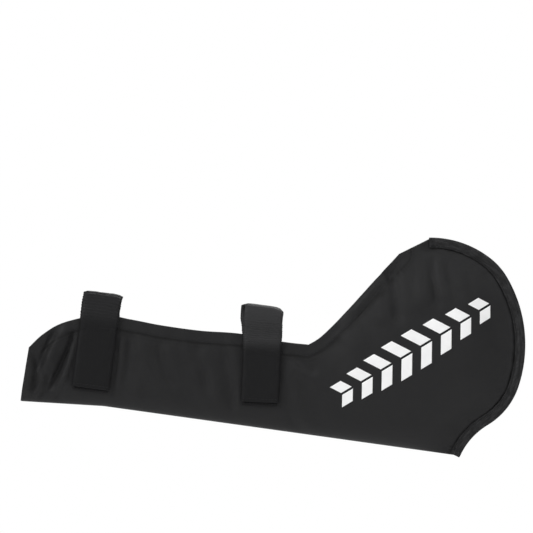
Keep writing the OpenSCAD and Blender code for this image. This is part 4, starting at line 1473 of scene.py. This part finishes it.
    def build_strap(self, ribs: NodeTool) -> bpy.types.Object:
        """Returns the strap, ribbed across where it bends over the top."""
        g, uv = self.grid()
        thing = sheet_object(f"{self.place.name}_strap_tape", g, self.thickness, self.finishes.webbing, uv,
                             self.edge_round)
        bent = self.bent_share()
        ribbed = bent * (1 - 0.85 * ease((self.path()[0] - self.place.ribs[1]) / 5))
        # bent: the share of the painted highlight on the bend, times its strength, for the webbing
        for name, values in (("run", uv[:, 0, 0]), ("ribbed", ribbed), ("bent", bent * self.place.wear_and_bend_highlight)):
            add_attribute(thing.data, name, np.tile(np.repeat(values, self.columns), 2))
        return ribs.run(thing, Pitch=self.place.rib_pitch * MM, Height=self.rib_height * MM,
                        Material=self.finishes.webbing)

    def tab(self, name: str, low: float, high: float, half: float, lift: float, thickness: float,
            material: bpy.types.Material) -> bpy.types.Object:
        """Makes a flat piece that lies under the strap on the outer panel.

        Args:
            name: the piece's name.
            low: height of its lower edge.
            high: height of its upper edge.
            half: half its width.
            lift: height of its middle above the panel's middle.
            thickness: its thickness.
            material: its finish.

        Returns:
            The new piece.
        """
        z = np.linspace(low, high, self.tab_rows)
        wide = np.linspace(1, -1, self.tab_columns)
        columns = []
        for c in wide:
            p = self.leg_place(z, np.full_like(z, c), half)
            columns.append(np.stack([p[:, 0], -(self.form.depth(p, Side.OUTER) + lift), p[:, 1]], -1))
        return sheet_object(name, grid_of(columns), thickness, material, map_of(z, wide * half))

    def build_hooks(self) -> bpy.types.Object:
        """Returns the hook tape under the strap's free end."""
        low = self.place.end[1] + 1.5
        return self.tab(f"{self.place.name}_hooks", low, low + self.hook_l,
                        self.form.strap_w / 2 - self.patch_inset / 2, self.hook_lift, self.hook_t,
                        self.finishes.hooks)

    def build_patch(self) -> bpy.types.Object:
        """Returns the loop patch, whose lower edge shows below the strap."""
        low = self.place.end[1] - self.patch_show
        return self.tab(f"{self.place.name}_loops", low, low + self.patch_l,
                        self.form.strap_w / 2 - self.patch_inset, self.patch_lift, self.patch_t,
                        self.finishes.pile)

    def line_on(self, z: Array, c: Array, half: float, lift: float, side: Side) -> Array:
        """Returns points and normals along a line on a strap or a patch.

        Args:
            z: heights of the points.
            c: shares of the half width.
            half: the half width.
            lift: height above the panel's middle.
            side: the panel below.

        Returns:
            Points and normals, side by side in each row.
        """
        p = self.leg_place(z, c, half)
        return thread_row(p, side.value * (self.form.depth(p, side) + lift), side)

    def strap_lines(self) -> list[Array]:
        """Returns the row across the free end, and the box of thread on the sewn end."""
        half = self.form.strap_w / 2 - self.seam_inset
        top, low = self.sew_z - self.seam_inset, self.sew_z - self.anchor_l + self.seam_inset
        lift = self.anchor_lift + self.thickness / 2 + self.thread_lift
        wide, one = np.linspace(-1, 1, self.thread_points), np.ones(self.thread_points)
        tall = np.linspace(low, top, self.thread_points)
        rows = [self.line_on(one * z, wide, half, lift, Side.INNER) for z in (top, low)]
        rows += [self.line_on(tall, one * c, half, lift, Side.INNER) for c in (-1, 1)]
        rows += [self.line_on(tall, wide * k, half, lift, Side.INNER) for k in (-1, 1)]
        end = self.strap_lift + self.thickness / 2 + self.thread_lift
        rows.append(self.line_on(one * (self.place.end[1] + self.seam_inset), wide, half, end, Side.OUTER))
        return rows

    def patch_lines(self) -> list[Array]:
        """Returns the row of thread along the patch's lower edge."""
        z = np.full(self.thread_points, self.place.end[1] - self.patch_show / 2)
        half = self.form.strap_w / 2 - self.patch_inset - 2
        lift = self.patch_lift + self.patch_t / 2 + self.thread_lift
        return [self.line_on(z, np.linspace(-1, 1, self.thread_points), half, lift, Side.OUTER)]


@dataclass
class PrintedBand:
    """A sloping band of pale chevrons on the lobe, largest in the middle.

    Each chevron has two arms that lean back from its middle. Taper is the share of the height that the
    outermost ones lack, and slit is half the gap between two arms.
    """

    form: CoverForm
    finishes: Finishes
    length: float = 182.0
    height: float = 40.0
    slope: float = 31.0
    count: int = 8
    sweep: float = 0.62
    taper: float = 0.42
    slit: float = 1.1
    arm_share: float = 0.54
    middle: tuple[float, float] = (-2.0, 1.0)
    thickness: float = 0.16
    clear: float = 0.06
    cells: int = 26

    def arm(self, number: int, side: int) -> tuple[Array, Array]:
        """Returns the grid and the coordinates of one arm of a chevron."""
        f, pitch = self.form, self.length / self.count
        u0 = (number + 0.5 - self.count / 2) * pitch
        tall = self.height * (1 - self.taper * abs(2 * number / (self.count - 1) - 1) ** 1.4)
        a = np.linspace(-0.5, 0.5, self.cells)[:, None]
        v = side * mix(self.slit, tall / 2, np.linspace(0, 1, self.cells))[None]
        u = u0 + a * pitch * self.arm_share * side + self.sweep * (self.height / 4 - np.abs(v))
        v = np.broadcast_to(v, u.shape)
        t = math.radians(self.slope)
        turned = [u * math.cos(t) - v * math.sin(t), u * math.sin(t) + v * math.cos(t)]
        p = np.stack(turned, -1) + self.middle
        lift = f.cloth_t / 2 + self.clear + self.thickness / 2
        y = -(f.depth(p.reshape(-1, 2), Side.OUTER).reshape(u.shape) + lift)
        return np.stack([p[..., 0], y, p[..., 1]], -1), p * MM

    def build(self) -> bpy.types.Object:
        """Returns the arms of all chevrons as one piece."""
        arms = [self.arm(number, side) for number in range(self.count) for side in (-1, 1)]
        return join("printed_band", [sheet_object("film", g, self.thickness, self.finishes.film, uv)
                                     for g, uv in arms])


def join(name: str, things: list[bpy.types.Object]) -> bpy.types.Object:
    """Joins meshes into the first one and gives it a name."""
    with bpy.context.temp_override(active_object=things[0], selected_editable_objects=things):
        bpy.ops.object.join()
    things[0].name = name
    things[0].data.name = name
    return things[0]


@dataclass
class Stitching:
    """Rows of thread, laid by the stitch tool."""

    tool: NodeTool
    finishes: Finishes

    def lay(self, name: str, rows: list[Array], pitch: float = STITCH_PITCH, length: float = 2.9,
            width: float = 0.75, height: float = 0.62, tilt: float = 0.07, seed: int = 3) -> bpy.types.Object:
        """Lays stitches along rows of points.

        Args:
            name: the piece's name.
            rows: points and normals, side by side in each row of each array.
            pitch: distance from one stitch to the next.
            length: length of a stitch.
            width: width of the thread.
            height: height of the thread.
            tilt: largest tilt of a stitch in its row, in radians.
            seed: start of the random draws.

        Returns:
            The stitches as one piece.
        """
        edges, start = [], 0
        for row in rows:
            edges += [(start + k, start + k + 1) for k in range(len(row) - 1)]
            start += len(row)
        points = np.concatenate(rows)
        mesh = bpy.data.meshes.new(name)
        mesh.from_pydata((points[:, :3] * MM).tolist(), edges, [])
        add_attribute(mesh, "out", points[:, 3:])
        return self.tool.run(link_object(name, mesh), Pitch=pitch * MM, Length=length * MM, Width=width * MM,
                             Height=height * MM, Tilt=tilt, Seed=seed, Material=self.finishes.thread)


def split_at_straps(line: Array, form: CoverForm, margin: float = 1.5, shortest: int = 4) -> list[Array]:
    """Cuts a row of points where a strap covers it.

    Args:
        line: points and normals, side by side in each row.
        form: the cover's form.
        margin: distance that stays free beside a strap.
        shortest: number of points below which a part is left out.

    Returns:
        The parts that no strap covers.
    """
    clear = np.ones(len(line), bool)
    for strap in STRAPS:
        clear &= np.abs(line[:, 0] - strap.x_at(line[:, 2])) > form.strap_w / 2 + margin
    parts, start = [], None
    for k, free in enumerate(np.append(clear, False)):
        if free and start is None:
            start = k
        if not free and start is not None:
            if k - start >= shortest:
                parts.append(line[start:k])
            start = None
    return parts


@dataclass(frozen=True)
class Lamp:
    """One soft square lamp: its place and width in metres, and its power in watts."""

    name: str
    place: tuple[float, float, float]
    size: float
    power: float

    def hang(self, target: tuple[float, float, float]) -> None:
        """Hangs the lamp in the scene and turns it to the target."""
        data = bpy.data.lights.new(self.name, "AREA")
        data.size = self.size
        data.energy = self.power
        lamp = link_object(self.name, data)
        lamp.location = self.place
        aim = Vector(target) - Vector(self.place)
        lamp.rotation_euler = aim.to_track_quat("-Z", "Y").to_euler()


@dataclass(frozen=True)
class Studio:
    """Camera, floor, backdrop and soft lamps. Distances and the floor's sizes are metres."""

    centre_px: tuple[float, float] = (266.5, 266.5)
    axis_px: tuple[float, float] = (413.0, 353.0)
    mm_per_px: float = 0.99
    distance: float = 4.0
    plane_y: float = -0.012
    floor_drop: float = 0.14
    floor_half: float = 14.0
    pool: tuple[float, float] = (0.33, 1.1)
    target: tuple[float, float, float] = (-0.14, 0.0, 0.02)
    sky: float = 0.3
    lamps: tuple[Lamp, ...] = (
        Lamp("key", (-2.9, -2.0, 2.7), size=1.5, power=112.0),
        Lamp("fill", (0.5, -0.8, 0.85), size=0.6, power=5.6),
        Lamp("back", (0.5, 1.9, 1.8), size=1.4, power=36.0))

    def camera(self) -> None:
        """Sets the camera on the photograph's view: level, square to the cover, from far away."""
        x = (self.centre_px[0] - self.axis_px[0]) * self.mm_per_px * MM
        z = (self.axis_px[1] - self.centre_px[1]) * self.mm_per_px * MM
        data = bpy.data.cameras.new("camera")
        data.sensor_width = 36.0
        data.lens = data.sensor_width * self.distance / (IMAGE_PX * self.mm_per_px * MM)
        data.clip_end = 50.0
        eye = link_object("camera", data)
        eye.location = (x, self.plane_y - self.distance, z)
        eye.rotation_euler = (math.radians(90), 0, 0)
        bpy.context.scene.camera = eye

    def plain_white(self, name: str) -> bpy.types.Material:
        """Returns a pale surface that the camera sees white, apart from soft shadow near the object."""
        material = bpy.data.materials.new(name)
        tree = empty_tree(material)
        ray = add_node(tree, "ShaderNodeLightPath").outputs
        glossy = add_node(tree, MATH, {"operation": "MAXIMUM"}, ray["Is Glossy Ray"],
                          ray["Is Transmission Ray"])
        seen = add_node(tree, MATH, {"operation": "MAXIMUM"}, ray["Is Camera Ray"], glossy)
        place = add_node(tree, "ShaderNodeTexCoord").outputs["Object"]
        away = add_node(tree, "ShaderNodeVectorMath", {"operation": "LENGTH"}, place).outputs["Value"]
        far = add_node(tree, "ShaderNodeMapRange", {"interpolation_type": "SMOOTHSTEP"}, Value=away,
                       From_Min=self.pool[0], From_Max=self.pool[1])
        body = add_node(tree, "ShaderNodeBsdfDiffuse", Color=linear("#f4f4f4"))
        glow = add_node(tree, "ShaderNodeEmission", Color=linear("#ffffff"), Strength=0.3)
        near = add_node(tree, "ShaderNodeAddShader", None, body, glow)
        white = add_node(tree, "ShaderNodeEmission", Color=linear("#ffffff"), Strength=1.0)
        shown = add_node(tree, "ShaderNodeMixShader", None, far, near, white)
        shader = add_node(tree, "ShaderNodeMixShader", None, seen, body, shown)
        add_node(tree, "ShaderNodeOutputMaterial", Surface=shader)
        return material

    def floor(self, lowest: float) -> None:
        """Lays the pale floor below the object, whose lowest point is given in metres."""
        z = (lowest - self.floor_drop) / MM
        far = self.floor_half / MM
        points = np.array([(-far, -far, z), (far, -far, z), (far, far, z), (-far, far, z)])
        plane = mesh_object("floor", points, [(0, 1, 2, 3)], self.plain_white("pale floor"), smooth=False)
        plane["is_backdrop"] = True

    def light(self) -> None:
        """Hangs the soft lamps and makes the world: an even light that the camera sees white."""
        for lamp in self.lamps:
            lamp.hang(self.target)
        world = bpy.data.worlds.new("studio")
        tree = empty_tree(world)
        ray = add_node(tree, "ShaderNodeLightPath").outputs
        soft = add_node(tree, "ShaderNodeBackground", Color=linear("#ffffff"), Strength=self.sky)
        white = add_node(tree, "ShaderNodeBackground", Color=linear("#ffffff"), Strength=1.0)
        seen = add_node(tree, MATH, {"operation": "MAXIMUM"}, ray["Is Camera Ray"],
                        ray["Is Transmission Ray"])
        both = add_node(tree, "ShaderNodeMixShader", None, seen, soft, white)
        add_node(tree, "ShaderNodeOutputWorld", Surface=both)
        bpy.context.scene.world = world


def ride(thing: bpy.types.Object, slot: str, *nodes: str) -> bpy.types.Object:
    """Lets a piece ride on the cover and stand for nodes of the model."""
    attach(thing, BODY)
    if nodes:
        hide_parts(*nodes)
    log.info("%s: %d faces", thing.name, len(thing.data.polygons))
    return thing


class CoverAssembly:
    """Builds and dresses every piece of the cover, in the order in which it is sewn."""

    def __init__(self) -> None:
        """Prepares the shape, the finishes and the tools."""
        self.form = CoverForm()
        self.finishes = Finishes.build()
        self.cloth = FoldedCloth(self.form, self.finishes)
        self.binding = RimBinding(self.cloth, self.finishes)
        self.straps = [Strap(self.form, place, self.finishes) for place in STRAPS]
        self.stitching = Stitching(stitch_tool(), self.finishes)
        self.ribs = rib_tool()

    def build(self) -> None:
        """Makes all pieces."""
        cloth = ride(self.cloth.build(), "coated_cloth", "cover_shell")
        tape = ride(self.binding.build(), "binding_tape", "rim_binding")
        rim = self.stitching.lay("rim_thread", self.binding.stitch_lines())
        ride(rim, "sewing_thread", "rim_stitching")
        lines = [self.cloth.hem_line(side) for side in Side]
        rows = [part for line in lines for part in split_at_straps(line, self.form)]
        hem = self.stitching.lay("hem_thread", rows, seed=7)
        ride(hem, "sewing_thread", "hem_stitching")
        for strap in self.straps:
            self.build_strap(strap)
        ride(PrintedBand(self.form, self.finishes).build(), "reflective_film", "reflective_print")
        tacks = self.stitching.lay("tack_thread", self.binding.tack_lines(), pitch=0.55, length=0.6,
                                   width=3.0, height=0.75, tilt=0.16, seed=5)
        ride(tacks, "sewing_thread", "bar_tacks")

    def build_strap(self, strap: Strap) -> None:
        """Makes one strap with its hook tape, its patch and their thread."""
        name = strap.place.name
        ride(strap.build_patch(), "loop_pile", f"{name}_loop_patch")
        ride(strap.build_hooks(), "hook_tape", f"{name}_hook_tape")
        ride(strap.build_strap(self.ribs), "strap_webbing", f"{name}_strap")
        for part, rows, seed in (("strap", strap.strap_lines(), 11), ("patch", strap.patch_lines(), 13)):
            thread = self.stitching.lay(f"{name}_{part}_thread", rows, pitch=3.0, length=2.5, seed=seed)
            ride(thread, "sewing_thread", f"{name}_{part}_stitching")


def main() -> None:
    """Loads the frame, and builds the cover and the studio."""
    logging.basicConfig(level=logging.INFO, format="%(name)s: %(message)s")
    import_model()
    cad_box = [list(corner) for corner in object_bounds()]
    studio = Studio()
    studio.camera()
    CoverAssembly().build()
    studio.floor(cad_box[0][2])
    studio.light()
    bpy.context.scene.view_settings.view_transform = "Standard"
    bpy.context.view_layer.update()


if __name__ == "__main__":
    main()
